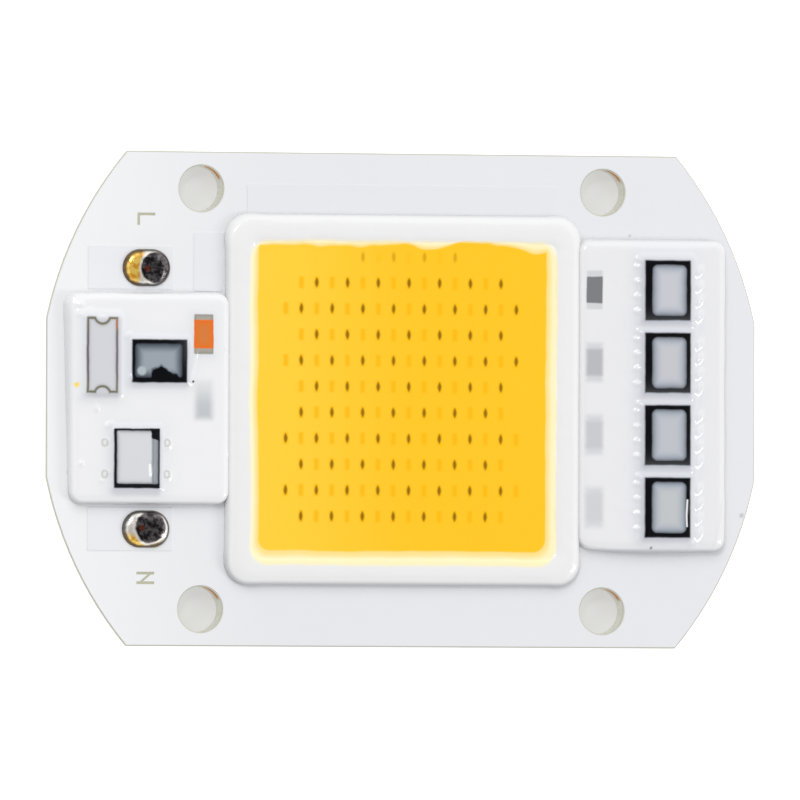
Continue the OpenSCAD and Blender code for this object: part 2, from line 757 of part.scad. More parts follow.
module dam_bead() {
    straight_x = bed_w - 2 * dam_corner;
    straight_y = bed_l - 2 * dam_corner;
    translate([0, 0, mask_top]) {
        for (turn = [0, 180]) rotate(turn) {
            translate([straight_x / 2, crest_y, 0]) rotate([90, 0, -90]) linear_extrude(straight_x) bead_section();
            translate([crest_x, -straight_y / 2, 0]) rotate([90, 0, 180]) linear_extrude(straight_y) bead_section();
            translate([straight_x / 2, straight_y / 2, 0]) rotate_extrude(angle = 90)
                translate([dam_corner + dam_w / 2, 0]) bead_section();
            translate([-straight_x / 2, straight_y / 2, 0]) rotate(90) rotate_extrude(angle = 90)
                translate([dam_corner + dam_w / 2, 0]) bead_section();
        }
    }
}

module relief_block() {
    translate([0, 0, mask_top]) linear_extrude(relief_t) relief_areas();
}

module silicone_dam() {
    color("whitesmoke") difference() {
        dam_bead();
        relief_block();
    }
}

// The narrow slot in the phosphor that each row's bond wires stand in
module wire_slots() {
    slot_h = chip_t + wire_rise + wire_t;
    for (row = led_rows) {
        reach = chip_pitch * (row[0] + 1) / 2 + wire_stitch / 2;
        translate([row[2] - reach, row[1] - wire_t / 2, mask_top]) cube([2 * reach, wire_t, slot_h]);
    }
}

module phosphor_bed() {
    color("gold") difference() {
        translate([0, 0, mask_top]) linear_extrude(bed_depth)
            rounded_rect(-crest_x, crest_x, -crest_y, crest_y, dam_corner + dam_w / 2);
        dam_bead();
        led_chips();
        wire_slots();
    }
}

// ---- the parts beside the bed ----

module fuse_notches(r) {
    for (side = [-1, 1])
        translate([fuse_x, fuse_y + side * (fuse_l / 2 + notch_r - notch_depth), seat]) cylinder(h = fuse_h, r = r);
}

module fuse_body() {
    color("silver") difference() {
        translate([fuse_x, fuse_y, 0]) slab([fuse_w, fuse_l], seat + plating_t, seat + fuse_h);
        fuse_notches(notch_r);
    }
}

module fuse_terminals() {
    notch_y = fuse_l / 2 + notch_r - notch_depth;
    foot_start = fuse_l / 2 - fuse_terminal_l;
    color("goldenrod") for (side = [0, 1]) translate([fuse_x, fuse_y, seat]) mirror([0, side, 0]) difference() {
        union() {
            translate([-fuse_w / 2, foot_start, 0]) cube([fuse_w, fuse_terminal_l, plating_t]);
            intersection() {
                translate([0, notch_y, 0]) cylinder(h = fuse_h, r = notch_r);
                translate([-fuse_w / 2, foot_start, 0]) cube([fuse_w, fuse_terminal_l, fuse_h]);
            }
        }
        translate([0, notch_y, -1]) cylinder(h = fuse_h + 2, r = notch_r - plating_t);
    }
}

module surge_suppressor_body() {
    flank_z = (suppressor_h - lead_t) / 2;
    rim = [[package_draft, 0], [0, flank_z], [0, suppressor_h - flank_z], [package_draft, suppressor_h]];
    color("dimgray") translate([suppressor_x, suppressor_y, seat + lead_t]) rimmed_block(
        -suppressor_l / 2, suppressor_l / 2, -suppressor_w / 2, suppressor_w / 2, rim
    );
}

module surge_suppressor_tabs() {
    tab_top = lead_t + (suppressor_h + lead_t) / 2;
    end = suppressor_l / 2 + tab_reach;
    color("silver") translate([suppressor_x, suppressor_y, seat]) for (side = [0, 1]) mirror([side, 0, 0])
        translate([0, tab_w / 2, 0]) rotate([90, 0, 0]) linear_extrude(tab_w)
            polygon([
                [suppressor_l / 2, tab_top], [end, tab_top], [end, 0], [suppressor_l / 2 - tab_foot, 0],
                [suppressor_l / 2 - tab_foot, lead_t], [end - lead_t, lead_t],
                [end - lead_t, tab_top - lead_t], [suppressor_l / 2, tab_top - lead_t],
            ]);
}

module input_capacitor_body() {
    color("darkorange") translate([capacitor_x, capacitor_y, 0]) chip_core(capacitor_w, capacitor_l, capacitor_h);
}

module input_capacitor_caps() {
    color("silver") translate([capacitor_x, capacitor_y, 0]) chip_caps(capacitor_w, capacitor_l, capacitor_h);
}

module bleed_resistor_body() {
    color("darkslategray") translate([bleeder_x, bleeder_y, 0]) chip_core(bleeder_w, bleeder_l, resistor_h);
}

module bleed_resistor_caps() {
    color("silver") translate([bleeder_x, bleeder_y, 0]) chip_caps(bleeder_w, bleeder_l, resistor_h);
}

module bridge_rectifier_body() {
    color("dimgray") translate([bridge_x, bridge_y, 0]) package(bridge_w, bridge_l, bridge_h);
}

module bridge_rectifier_leads() {
    color("silver") translate([bridge_x, bridge_y, 0])
        lead_rows(bridge_w, bridge_h, bridge_span, bridge_pitch, 2, bridge_lead_w);
}

module driver_body(i) {
    color("dimgray") translate([driver_x, driver_y(i), 0]) package(driver_w, driver_l, driver_h);
}

module driver_leads(i) {
    color("silver") translate([driver_x, driver_y(i), 0])
        lead_rows(driver_w, driver_h, driver_span, driver_pitch, 4, driver_lead_w);
}

module set_resistor_body(i) {
    color("darkslategray") translate([set_resistor_x, driver_y(i), 0])
        chip_core(set_resistor_w, set_resistor_l, resistor_h);
}

module set_resistor_caps(i) {
    color("silver") translate([set_resistor_x, driver_y(i), 0])
        chip_caps(set_resistor_w, set_resistor_l, resistor_h);
}

// ---- the potting ----

module potting_slab(x0, x1, y0, y1) {
    translate([0, 0, mask_top]) intersection() {
        rimmed_block(x0, x1, y0, y1, potting_shoulder);
        linear_extrude(potting_h) rounded_rect(x0, x1, y0, y1, potting_corner);
    }
}

// The silicone that rises over a part taller than the potting, of size w by l, with its top at part_top
module potting_cover(x, y, w, l, part_top) {
    half_x = w / 2 + skirt_w;
    half_y = l / 2 + skirt_w;
    side_z = potting_h * 0.8;
    top = part_top - mask_top + film_t;
    rim = [[0, 0], [0, side_z], [skirt_w - film_t, top]];
    translate([x, y, mask_top]) rimmed_block(-half_x, half_x, -half_y, half_y, rim);
}

module left_potting() {
    color("white") difference() {
        union() {
            potting_slab(left_potting_x, -foot_x + potting_lap, left_potting_start, left_potting_end);
            potting_cover(fuse_x, fuse_y, fuse_w, fuse_l, seat + fuse_h);
            potting_cover(suppressor_x, suppressor_y, suppressor_l, suppressor_w, seat + lead_t + suppressor_h);
            potting_cover(capacitor_x, capacitor_y, capacitor_w, capacitor_l, seat + capacitor_h);
            potting_cover(bridge_x, bridge_y, bridge_w, bridge_l, seat + standoff + bridge_h);
        }
        dam_bead();
        fuse_body();
        fuse_terminals();
        surge_suppressor_body();
        surge_suppressor_tabs();
        input_capacitor_body();
        input_capacitor_caps();
        bleed_resistor_body();
        bleed_resistor_caps();
        bridge_rectifier_body();
        bridge_rectifier_leads();
        joint_set(left_joints);
    }
}

module right_potting() {
    color("white") difference() {
        union() {
            potting_slab(foot_x - potting_lap, right_potting_x, right_potting_start, right_potting_end);
            for (i = [0 : driver_count - 1])
                potting_cover(driver_x, driver_y(i), driver_w, driver_l, seat + standoff + driver_h);
        }
        dam_bead();
        for (i = [0 : driver_count - 1]) {
            driver_body(i);
            driver_leads(i);
            set_resistor_body(i);
            set_resistor_caps(i);
        }
        joint_set(right_joints);
    }
}

aluminium_core();
insulation_layer();
copper_tracks();
terminal_letters();
solder_mask();
live_pad_solder();
neutral_pad_solder();
solder_joints();
bond_pads();
led_chips();
bond_wires();
phosphor_bed();
silicone_dam();
left_potting();
right_potting();
fuse_body();
fuse_terminals();
surge_suppressor_body();
surge_suppressor_tabs();
input_capacitor_body();
input_capacitor_caps();
bleed_resistor_body();
bleed_resistor_caps();
bridge_rectifier_body();
bridge_rectifier_leads();
driver_body(0);  // driver_1_body
driver_leads(0);  // driver_1_leads
driver_body(1);  // driver_2_body
driver_leads(1);  // driver_2_leads
driver_body(2);  // driver_3_body
driver_leads(2);  // driver_3_leads
driver_body(3);  // driver_4_body
driver_leads(3);  // driver_4_leads
set_resistor_body(0);  // set_resistor_1_body
set_resistor_caps(0);  // set_resistor_1_caps
set_resistor_body(1);  // set_resistor_2_body
set_resistor_caps(1);  // set_resistor_2_caps
set_resistor_body(2);  // set_resistor_3_body
set_resistor_caps(2);  // set_resistor_3_caps
set_resistor_body(3);  // set_resistor_4_body
set_resistor_caps(3);  // set_resistor_4_caps
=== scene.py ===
# %% [markdown]
# # A mains-powered chip-on-board light
# The object is a small aluminium board. A square bed of light chips sits under yellow phosphor in its
# middle, inside a white silicone dam. The mains parts are potted in white silicone on the left, and four
# current drivers on the right. The solids already hold every piece at its real size. This lesson gives
# them their surfaces, and remodels the poured and soldered pieces, whose skins are too soft for solids.

# %% Load the solids
import math
import bmesh
import bpy
import numpy as np
from mathutils import Matrix, Vector, noise


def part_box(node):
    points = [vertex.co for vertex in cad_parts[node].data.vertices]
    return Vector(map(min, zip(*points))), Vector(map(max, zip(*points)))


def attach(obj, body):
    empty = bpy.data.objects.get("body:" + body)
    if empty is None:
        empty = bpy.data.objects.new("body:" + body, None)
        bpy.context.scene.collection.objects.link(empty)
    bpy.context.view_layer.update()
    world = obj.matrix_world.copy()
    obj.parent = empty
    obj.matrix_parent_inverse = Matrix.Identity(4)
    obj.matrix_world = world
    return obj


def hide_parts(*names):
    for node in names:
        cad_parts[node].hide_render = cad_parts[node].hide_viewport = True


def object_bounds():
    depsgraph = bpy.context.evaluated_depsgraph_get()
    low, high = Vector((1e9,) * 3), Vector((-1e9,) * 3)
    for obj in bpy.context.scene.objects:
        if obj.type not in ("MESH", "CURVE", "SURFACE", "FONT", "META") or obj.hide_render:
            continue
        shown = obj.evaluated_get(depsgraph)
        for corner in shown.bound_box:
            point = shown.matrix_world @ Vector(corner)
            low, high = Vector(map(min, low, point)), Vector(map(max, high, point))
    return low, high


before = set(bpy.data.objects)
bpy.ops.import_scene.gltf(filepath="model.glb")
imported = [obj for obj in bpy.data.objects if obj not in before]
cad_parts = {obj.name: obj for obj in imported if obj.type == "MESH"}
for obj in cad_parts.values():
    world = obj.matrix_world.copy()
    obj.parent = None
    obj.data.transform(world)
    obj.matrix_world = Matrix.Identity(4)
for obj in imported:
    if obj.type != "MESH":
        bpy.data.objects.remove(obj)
MM = 0.001
cad_box = [list(corner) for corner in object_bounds()]
print("solids:", len(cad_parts), "size in mm:", [round((b - a) / MM, 2) for a, b in zip(*cad_box)])

# %% [markdown]
# ## Places
# Everything new is placed from the boxes of the solids, so nothing has to be fitted by eye. A footprint is
# what a part covers seen from above: its middle, its half size and the height of its top.

# %% Footprints of the solids
def footprint(node):
    low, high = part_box(node)
    return ((low + high) / 2).to_2d(), ((high - low) / 2).to_2d(), high.z


def four(pattern):
    """The names of one piece of each of the four drivers, from a pattern such as driver_{}_body."""
    return [pattern.format(number) for number in (1, 2, 3, 4)]


board_low, board_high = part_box("aluminium_core")
mask_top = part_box("led_chips")[0].z
copper_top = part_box("bond_pads")[0].z
drivers = [footprint(name) for name in four("driver_{}_body")]
resistors = [footprint(name) for name in four("set_resistor_{}_caps")]
fuse = footprint("fuse_body")
suppressor = footprint("surge_suppressor_body")
capacitor = footprint("input_capacitor_caps")
bleeder = footprint("bleed_resistor_caps")
bridge = footprint("bridge_rectifier_body")
_, dam_half, dam_top = footprint("silicone_dam")
left_low, left_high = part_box("left_potting")
right_low, right_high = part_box("right_potting")
print("mask at", round(mask_top / MM, 3), "mm, dam half size", [round(v / MM, 2) for v in dam_half])

# %% [markdown]
# ## Camera
# The camera stands far above the board and looks almost straight down, so it needs a very long lens. Its
# place is worked out from two small angles and a distance, and its tilt from a cross product, which is
# how a tracking constraint does it too, but stays plain numbers that are easy to change.

# %% Camera
LEAN_LEFT = math.radians(16.98)
LEAN_DOWN = math.radians(0.95)
TURN = math.radians(0.16)
CAMERA_AWAY = 2.0
LENS = 1111.2
AIM_RIGHT = -0.137 * MM
AIM_UP = 0.03 * MM
AIM_ABOVE = 0.1 * MM

towards_camera = Vector((
    -math.sin(LEAN_LEFT) * math.cos(LEAN_DOWN),
    -math.sin(LEAN_DOWN),
    math.cos(LEAN_LEFT) * math.cos(LEAN_DOWN),
))
camera_right = Vector((0, 1, 0)).cross(towards_camera).normalized()
camera_up = towards_camera.cross(camera_right)
board_middle = (board_low + board_high) / 2
aim = Vector((0, 0, board_high.z + AIM_ABOVE))
aim += camera_right * AIM_RIGHT + camera_up * AIM_UP

camera = bpy.data.objects.new("camera", bpy.data.cameras.new("camera"))
bpy.context.collection.objects.link(camera)
camera.data.lens = LENS
camera.data.clip_start = 0.05
camera.data.clip_end = 20
upright = Matrix((camera_right, camera_up, towards_camera)).transposed()
camera.matrix_world = (
    Matrix.Translation(aim + towards_camera * CAMERA_AWAY)
    @ upright.to_4x4()
    @ Matrix.Rotation(TURN, 4, "Z")
)
bpy.context.scene.camera = camera
bpy.context.scene.view_settings.view_transform = "Standard"
print("camera at", [round(v, 3) for v in camera.matrix_world.translation])

# %% [markdown]
# ## Node helpers
# A material is a small program drawn as nodes. These helpers write one node a line: `calc` for a number,
# with `times`, `plus`, `minus`, `larger` and `smaller` for its commonest kinds, `move` for a vector, `mix`
# for a colour and `fade` for a soft step between two distances. A value may be a number or another node's
# socket, and `feed` sorts out which. `give` feeds a node's inputs by name.

# %% Node helpers
def feed(tree, socket, value):
    if isinstance(value, bpy.types.NodeSocket):
        tree.links.new(value, socket)
    elif value is not None:
        socket.default_value = value


def give(tree, node, **values):
    for label, value in values.items():
        feed(tree, node.inputs[label.replace("_", " ")], value)


def first_node(tree, kind):
    return next(node for node in tree.nodes if node.type == kind)


def calc(tree, operation, *values):
    node = tree.nodes.new("ShaderNodeMath")
    node.operation = operation
    for socket, value in zip(node.inputs, values):
        feed(tree, socket, value)
    return node.outputs[0]


def times(tree, first, second):
    return calc(tree, "MULTIPLY", first, second)


def plus(tree, first, second):
    return calc(tree, "ADD", first, second)


def minus(tree, first, second):
    return calc(tree, "SUBTRACT", first, second)


def larger(tree, first, second):
    return calc(tree, "MAXIMUM", first, second)


def smaller(tree, first, second):
    return calc(tree, "MINIMUM", first, second)


def move(tree, operation, *values):
    node = tree.nodes.new("ShaderNodeVectorMath")
    node.operation = operation
    for socket, value in zip(node.inputs, values):
        feed(tree, socket, value)
    return node.outputs["Value" if operation in ("LENGTH", "DOT_PRODUCT") else "Vector"]


def axes(tree, vector):
    """The three numbers of a vector."""
    node = tree.nodes.new("ShaderNodeSeparateXYZ")
    feed(tree, node.inputs[0], vector)
    return node.outputs


def mix(tree, share, first, second, blend="MIX"):
    node = tree.nodes.new("ShaderNodeMix")
    node.data_type = "RGBA"
    node.blend_type = blend
    for label, value in (("Factor_Float", share), ("A_Color", first), ("B_Color", second)):
        feed(tree, next(s for s in node.inputs if s.identifier == label), value)
    return next(s for s in node.outputs if s.identifier == "Result_Color")


def fade(tree, value, start, end, low=0.0, high=1.0):
    node = tree.nodes.new("ShaderNodeMapRange")
    node.interpolation_type = "SMOOTHSTEP"
    for socket, number in zip(node.inputs, (value, start, end, low, high)):
        feed(tree, socket, number)
    return node.outputs[0]


def grain(tree, position, scale, detail=2.0, roughness=0.5):
    """A noise texture, whose first output is a number and whose second is a colour."""
    node = tree.nodes.new("ShaderNodeTexNoise")
    give(tree, node, Vector=position, Scale=scale, Detail=detail, Roughness=roughness)
    return node.outputs


def paint(red, green, blue):
    """A colour as it is named on a screen, from 0 to 255, in the linear values that Blender takes."""
    def linear(value):
        part = value / 255
        return part / 12.92 if part <= 0.04045 else ((part + 0.055) / 1.055) ** 2.4
    return (linear(red), linear(green), linear(blue), 1.0)


def tint(tree, surface, distance, start, end, color, strength=1.0):
    """Lay a colour over a surface where a distance, in mm, has faded from start to end."""
    return mix(tree, fade(tree, distance, start * MM, end * MM, 0.0, strength), surface, color)


print("white paint is", [round(v, 3) for v in paint(235, 235, 235)])

# %% [markdown]
# ## Shared effects
# Several finishes need the same effect, so each effect is a node group, made once. A group is like a
# function: named inputs, named outputs, and every material gives it its own values. The first one measures
# how far a point is from a rectangle with rounded corners. It is below zero inside, and that one number
# draws edges, halos, steps and films.

# %% Node group: distance to a rounded rectangle
def new_group(name, inputs, outputs):
    tree = bpy.data.node_groups.new(name, "ShaderNodeTree")
    for way, sockets in (("INPUT", inputs), ("OUTPUT", outputs)):
        for label, kind in sockets.items():
            tree.interface.new_socket(label, in_out=way, socket_type="NodeSocket" + kind)
    taken = tree.nodes.new("NodeGroupInput").outputs
    given = tree.nodes.new("NodeGroupOutput").inputs
    return tree, taken, given


rectangle_group, taken, given = new_group(
    "distance to a rectangle",
    {"Position": "Vector", "Middle": "Vector", "Half size": "Vector", "Corner": "Float"},
    {"Distance": "Float"},
)
g = rectangle_group
flat_place = move(g, "MULTIPLY", move(g, "SUBTRACT", taken["Position"], taken["Middle"]), (1, 1, 0))
corner_inset = move(g, "SUBTRACT", taken["Half size"], taken["Corner"])
past_corner = move(g, "SUBTRACT", move(g, "ABSOLUTE", flat_place), corner_inset)
past_corner = move(g, "MULTIPLY", past_corner, (1, 1, 0))
outside = move(g, "LENGTH", move(g, "MAXIMUM", past_corner, (0, 0, 0)))
past = axes(g, past_corner)
inside = smaller(g, larger(g, past[0], past[1]), 0.0)
feed(g, given["Distance"], minus(g, plus(g, outside, inside), taken["Corner"]))
print("group:", g.name)

# %% [markdown]
# ## A part under silicone
# The tall black packages stand just under the skin of the potting. Silicone runs off a sharp edge and
# pools on a flat top, so each package shows as a black frame round a milky field. Outside it lies a soft
# grey halo, which is painted: partly shade round the part, and partly the dark body seen through thin
# silicone. The group takes two distances, to the part's edge and to the edge of its milky field, and lays
# the part's colours over whatever colour is there already. Groups in a row draw part after part.

# %% Node group: a part under a film
film_group, taken, given = new_group(
    "part under a film",
    {"Surface": "Color", "Part distance": "Float", "Film distance": "Float", "Body": "Color",
     "Film": "Color", "Film reach": "Float", "Edge": "Float", "Halo": "Color", "Halo strength": "Float"},
    {"Color": "Color"},
)
g = film_group
HALO_REACH = 0.45 * MM
# The halo is painted shade, fading out from the part's edge
beyond = larger(g, taken["Part distance"], 0.0)
halo_fall = calc(g, "EXPONENT", calc(g, "DIVIDE", beyond, -HALO_REACH))
with_halo = mix(g, times(g, halo_fall, taken["Halo strength"]), taken["Surface"], taken["Halo"])
depth = calc(g, "DIVIDE", smaller(g, taken["Film distance"], 0.0), taken["Film reach"])
film_share = minus(g, 1.0, calc(g, "EXPONENT", depth))
seen = mix(g, film_share, taken["Body"], taken["Film"])
edge_in = times(g, taken["Edge"], -1.0)
feed(g, given["Color"], mix(g, fade(g, taken["Part distance"], taken["Edge"], edge_in), with_halo, seen))
print("group:", g.name)

# %% [markdown]
# ## Cured surfaces
# Silicone, solder mask and phosphor are all poured or printed, and none is perfectly even. This group
# gives a slow change of tone and a fine texture. The tone multiplies a colour, and the height feeds a Bump.

# %% Node group: uneven cured surface
cured_group, taken, given = new_group(
    "cured surface",
    {"Position": "Vector", "Color": "Color", "Tone change": "Float"},
    {"Color": "Color", "Height": "Float"},
)
g = cured_group
slow = grain(g, taken["Position"], 260, 2.0)[0]
fine = grain(g, taken["Position"], 9000, 3.0, 0.6)[0]
slow_swing = times(g, minus(g, slow, 0.5), 1.6)
both = plus(g, slow_swing, minus(g, fine, 0.5))
tone = plus(g, 1.0, times(g, both, taken["Tone change"]))
grey = g.nodes.new("ShaderNodeCombineColor")
for socket in grey.inputs[:3]:
    feed(g, socket, tone)
feed(g, given["Color"], mix(g, 1.0, taken["Color"], grey.outputs[0], "MULTIPLY"))
feed(g, given["Height"], plus(g, slow, times(g, fine, 0.12)))
print("group:", g.name)

# %% [markdown]
# ## Starting a material
# Every finish starts the same way: a Principled shader, its even values set on its own sockets, and the
# object's own coordinates for its patterns. Those stay put when the camera or the object moves.

# %% Material helpers
def new_finish(name, **even_values):
    material = bpy.data.materials.new(name)
    material.use_nodes = True
    tree = material.node_tree
    shader = first_node(tree, "BSDF_PRINCIPLED")
    give(tree, shader, **even_values)
    position = tree.nodes.new("ShaderNodeTexCoord").outputs["Object"]
    return material, tree, shader, position


def place_group(tree, group, **values):
    node = tree.nodes.new("ShaderNodeGroup")
    node.node_tree = group
    give(tree, node, **values)
    return node.outputs


def bump(tree, shader, height, distance):
    node = tree.nodes.new("ShaderNodeBump")
    give(tree, node, Strength=1.0, Distance=distance, Height=height)
    give(tree, shader, Normal=node.outputs[0])


def unsteady(tree, position, amount, scale):
    """The position, shaken a little by noise, so that an edge drawn from it is not quite straight."""
    shake = move(tree, "SUBTRACT", grain(tree, position, scale, 2.0)[1], (0.5, 0.5, 0.5))
    return move(tree, "ADD", position, move(tree, "MULTIPLY", shake, (amount, amount, amount)))


def rectangle(tree, position, middle, half, corner=0.0):
    place, size = (*middle[:2], 0), (*half[:2], 0)
    outputs = place_group(
        tree, rectangle_group, Position=position, Middle=place, Half_size=size, Corner=corner
    )
    return outputs["Distance"]


def disc(tree, position, x, y, radius):
    return rectangle(tree, position, (x, y), (radius, radius), radius)


def dress(finish, *nodes):
    for name in nodes:
        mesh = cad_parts[name].data
        mesh.materials.clear()
        mesh.materials.append(finish)


print("helpers ready")

# %% [markdown]
# ## The board's own layers
# The core is rolled aluminium, bare on its back and on its cut rim. The insulation shows only as a thin
# olive line in the rim, and the copper only in the screw holes' walls and the two terminal letters. Rolled
# metal has long fine scratches, so its noise is stretched along the rolling direction with a Mapping node.
# The rim is milled bright. An amber reflection of warm light is painted down one side of each hole, as a
# disc of colour that fades out towards the back face.

# %% Finish: rolled aluminium
HOLE_PLACE = dam_half.x + 2 * MM
HOLES = [(x, y) for x in (-HOLE_PLACE, HOLE_PLACE) for y in (-HOLE_PLACE, HOLE_PLACE)]
DRILLED_R = 1.9 * MM
WARM_REFLECTION_R = 0.65 * MM
WARM_REFLECTION_RIGHT, WARM_REFLECTION_UP = 1.15 * MM, 1.5 * MM

aluminium, tree, shader, position = new_finish("rolled aluminium", Metallic=0.85)
stretch = tree.nodes.new("ShaderNodeMapping")
give(tree, stretch, Scale=(1.0, 14.0, 1.0), Vector=position)
rolling = grain(tree, stretch.outputs[0], 1400, 4.0, 0.6)[0]
clouds = grain(tree, position, 180, 3.0)[0]
height_here = axes(tree, position)[2]
metal = mix(tree, clouds, paint(204, 206, 209), paint(226, 227, 229))
metal = tint(tree, metal, height_here, 0.0, 0.1, paint(248, 249, 250))
near_top = fade(tree, height_here, 0.5 * MM, 1.1 * MM)
for x, y in HOLES:
    metal = tint(tree, metal, disc(tree, position, x, y, DRILLED_R), 0.1, 0.0, paint(238, 238, 228))
    # Painted reflection: an amber patch of warm light, on the same side of every hole
    warm_reflection = disc(tree, unsteady(tree, position, 0.5 * MM, 900), x + WARM_REFLECTION_RIGHT, y + WARM_REFLECTION_UP, WARM_REFLECTION_R)
    share = times(tree, fade(tree, warm_reflection, 0.35 * MM, -0.1 * MM), near_top)
    metal = mix(tree, share, metal, paint(214, 142, 52))
give(tree, shader, Base_Color=metal, Roughness=fade(tree, rolling, 0.2, 0.8, 0.4, 0.6))
bump(tree, shader, rolling, 0.006 * MM)
dress(aluminium, "aluminium_core")
print("finish:", aluminium.name)

# %% Finish: insulation, copper and letters
insulation, tree, shader, position = new_finish("insulating resin", Roughness=0.5)
cured = place_group(tree, cured_group, Position=position, Color=paint(206, 205, 190), Tone_change=0.06)
give(tree, shader, Base_Color=cured["Color"])
dress(insulation, "insulation_layer")

copper, tree, shader, position = new_finish("copper", Metallic=1.0)
tarnish = grain(tree, position, 900, 3.0)[0]
give(tree, shader, Base_Color=mix(tree, tarnish, paint(150, 98, 62), paint(206, 150, 110)),
     Roughness=fade(tree, tarnish, 0.3, 0.7, 0.3, 0.5))
dress(copper, "copper_tracks")

letters, tree, shader, position = new_finish("bare letters", Roughness=0.45)
tarnish = grain(tree, position, 2600, 3.0, 0.7)[0]
give(tree, shader, Base_Color=mix(tree, tarnish, paint(178, 177, 152), paint(214, 213, 190)),
     Metallic=fade(tree, tarnish, 0.4, 0.8, 0.1, 0.5))
dress(letters, "terminal_letters")
print("finishes:", insulation.name, copper.name, letters.name)

# %% [markdown]
# ## Solder mask
# The mask is a printed white lacquer, so thin that the thick copper areas below show as faint raised
# fields. Their steps are far too low to see as geometry alone, so the same rectangles are softened into a
# Bump. Small inclusions in the lacquer are dots with the distance group, given as x, y and size in mm.
# Its white is painted darker from left to right, as a painted falloff of the light from the left.

# %% Finish: solder mask
MASK_STEP = 0.03 * MM
COPPER_CORNER = 0.1 * MM
BUS_HALF = (13.1 * MM, 2.35 * MM)
PAD_COPPER_SHIFT = 1.32 * MM
PAD_COPPER_SPARE = (1.54 * MM, 0.22 * MM)
INCLUSIONS = ((19.3, 13.5, 0.08), (28.9, -9.15, 0.16), (-28.1, -6.0, 0.12), (-26.3, 17.6, 0.1))

mask_white, tree, shader, position = new_finish("white solder mask", Roughness=0.32, Coat_Roughness=0.15)
pads = [footprint("live_pad_solder"), footprint("neutral_pad_solder")]
corner_low, corner_high = left_high.y + 0.1 * MM, dam_half.y - 1.6 * MM
copper_fields = [
    ((0, dam_half.y), BUS_HALF),
    ((-dam_half.x - 1.4 * MM, (corner_low + corner_high) / 2), (1.2 * MM, (corner_high - corner_low) / 2)),
]
for middle, half, top in pads:
    spread = (half.x + PAD_COPPER_SPARE[0], half.y + PAD_COPPER_SPARE[1])
    copper_fields.append(((middle.x - PAD_COPPER_SHIFT, middle.y), spread))
nearest = 1.0
for middle, half in copper_fields:
    nearest = smaller(tree, nearest, rectangle(tree, position, middle, half, COPPER_CORNER))
raised = fade(tree, nearest, 0.16 * MM, -0.02 * MM)
# Painted light: the white is lighter at the left end and darker towards the right
white = tint(tree, paint(241, 242, 244), axes(tree, position)[0], -31, -9, paint(231, 232, 235))
cured = place_group(tree, cured_group, Position=position, Color=white, Tone_change=0.01)
lacquer = mix(tree, times(tree, raised, 0.4), cured["Color"], paint(228, 229, 233))
for x, y, size in INCLUSIONS:
    spot = disc(tree, unsteady(tree, position, 0.2 * MM, 4000), x * MM, y * MM, size * MM)
    lacquer = tint(tree, lacquer, spot, 0.12, -0.05, paint(120, 120, 125), 0.35)
give(tree, shader, Base_Color=lacquer)
bump(tree, shader, plus(tree, raised, times(tree, cured["Height"], 0.06)), MASK_STEP)
dress(mask_white, "solder_mask")
print("finish:", mask_white.name, "with", len(copper_fields), "raised fields")

# %% [markdown]
# ## Hidden pieces
# Most parts lie under silicone or phosphor. They still get their real finishes, because the pieces can be
# shown one by one: black moulding compound, tinned metal, orange and white ceramic, gold wire and blue die.

# %% Finishes: parts under the silicone
def simple_finish(name, dark, light, size, roughness, metallic=0.0):
    finish, tree, shader, position = new_finish(name, Metallic=metallic)
    cloud = grain(tree, position, size, 4.0, 0.6)[0]
    give(tree, shader, Base_Color=mix(tree, cloud, dark, light),
         Roughness=fade(tree, cloud, 0.25, 0.75, roughness, roughness + 0.15))
    bump(tree, shader, cloud, 0.01 * MM)
    return finish


moulding = simple_finish("black moulding compound", paint(16, 16, 19), paint(38, 38, 42), 6000, 0.5)
tinned = simple_finish("tinned metal", paint(168, 168, 170), paint(206, 206, 208), 3000, 0.25, 1.0)
solder = simple_finish("solder", paint(150, 150, 154), paint(200, 200, 204), 2000, 0.2, 1.0)
plated = simple_finish("gold plating", paint(196, 150, 78), paint(232, 194, 120), 2500, 0.25, 1.0)
orange = simple_finish("orange ceramic", paint(206, 88, 14), paint(226, 116, 44), 2500, 0.45)
grey_glass = simple_finish("dark glass glaze", paint(46, 50, 54), paint(78, 82, 86), 2500, 0.35)
white_ceramic = simple_finish("white ceramic", paint(196, 196, 192), paint(224, 224, 220), 2500, 0.5)
die_blue = simple_finish("blue die", paint(92, 120, 168), paint(150, 172, 206), 4000, 0.2)

dress(moulding, "surge_suppressor_body", "bridge_rectifier_body", *four("driver_{}_body"))
dress(tinned, "surge_suppressor_tabs", "bridge_rectifier_leads", "input_capacitor_caps",
      "bleed_resistor_caps", *four("driver_{}_leads"), *four("set_resistor_{}_caps"))
dress(solder, "solder_joints", "bond_pads")
dress(plated, "fuse_terminals", "bond_wires")
dress(orange, "input_capacitor_body")
dress(grey_glass, "bleed_resistor_body", *four("set_resistor_{}_body"))
dress(white_ceramic, "fuse_body")
dress(die_blue, "led_chips")
print("hidden pieces dressed")

# %% [markdown]
# ## Poured skins
# A pool of silicone or phosphor is a flat foot under a gently curved top. A grid from
# `bmesh.ops.create_grid` is pulled into a rounded outline, lifted to a height that a formula gives for
# each place, and closed with an extruded rim and a filled foot. A subdivision surface would be lighter,
# but it could not follow the small rises over every lead and package edge.

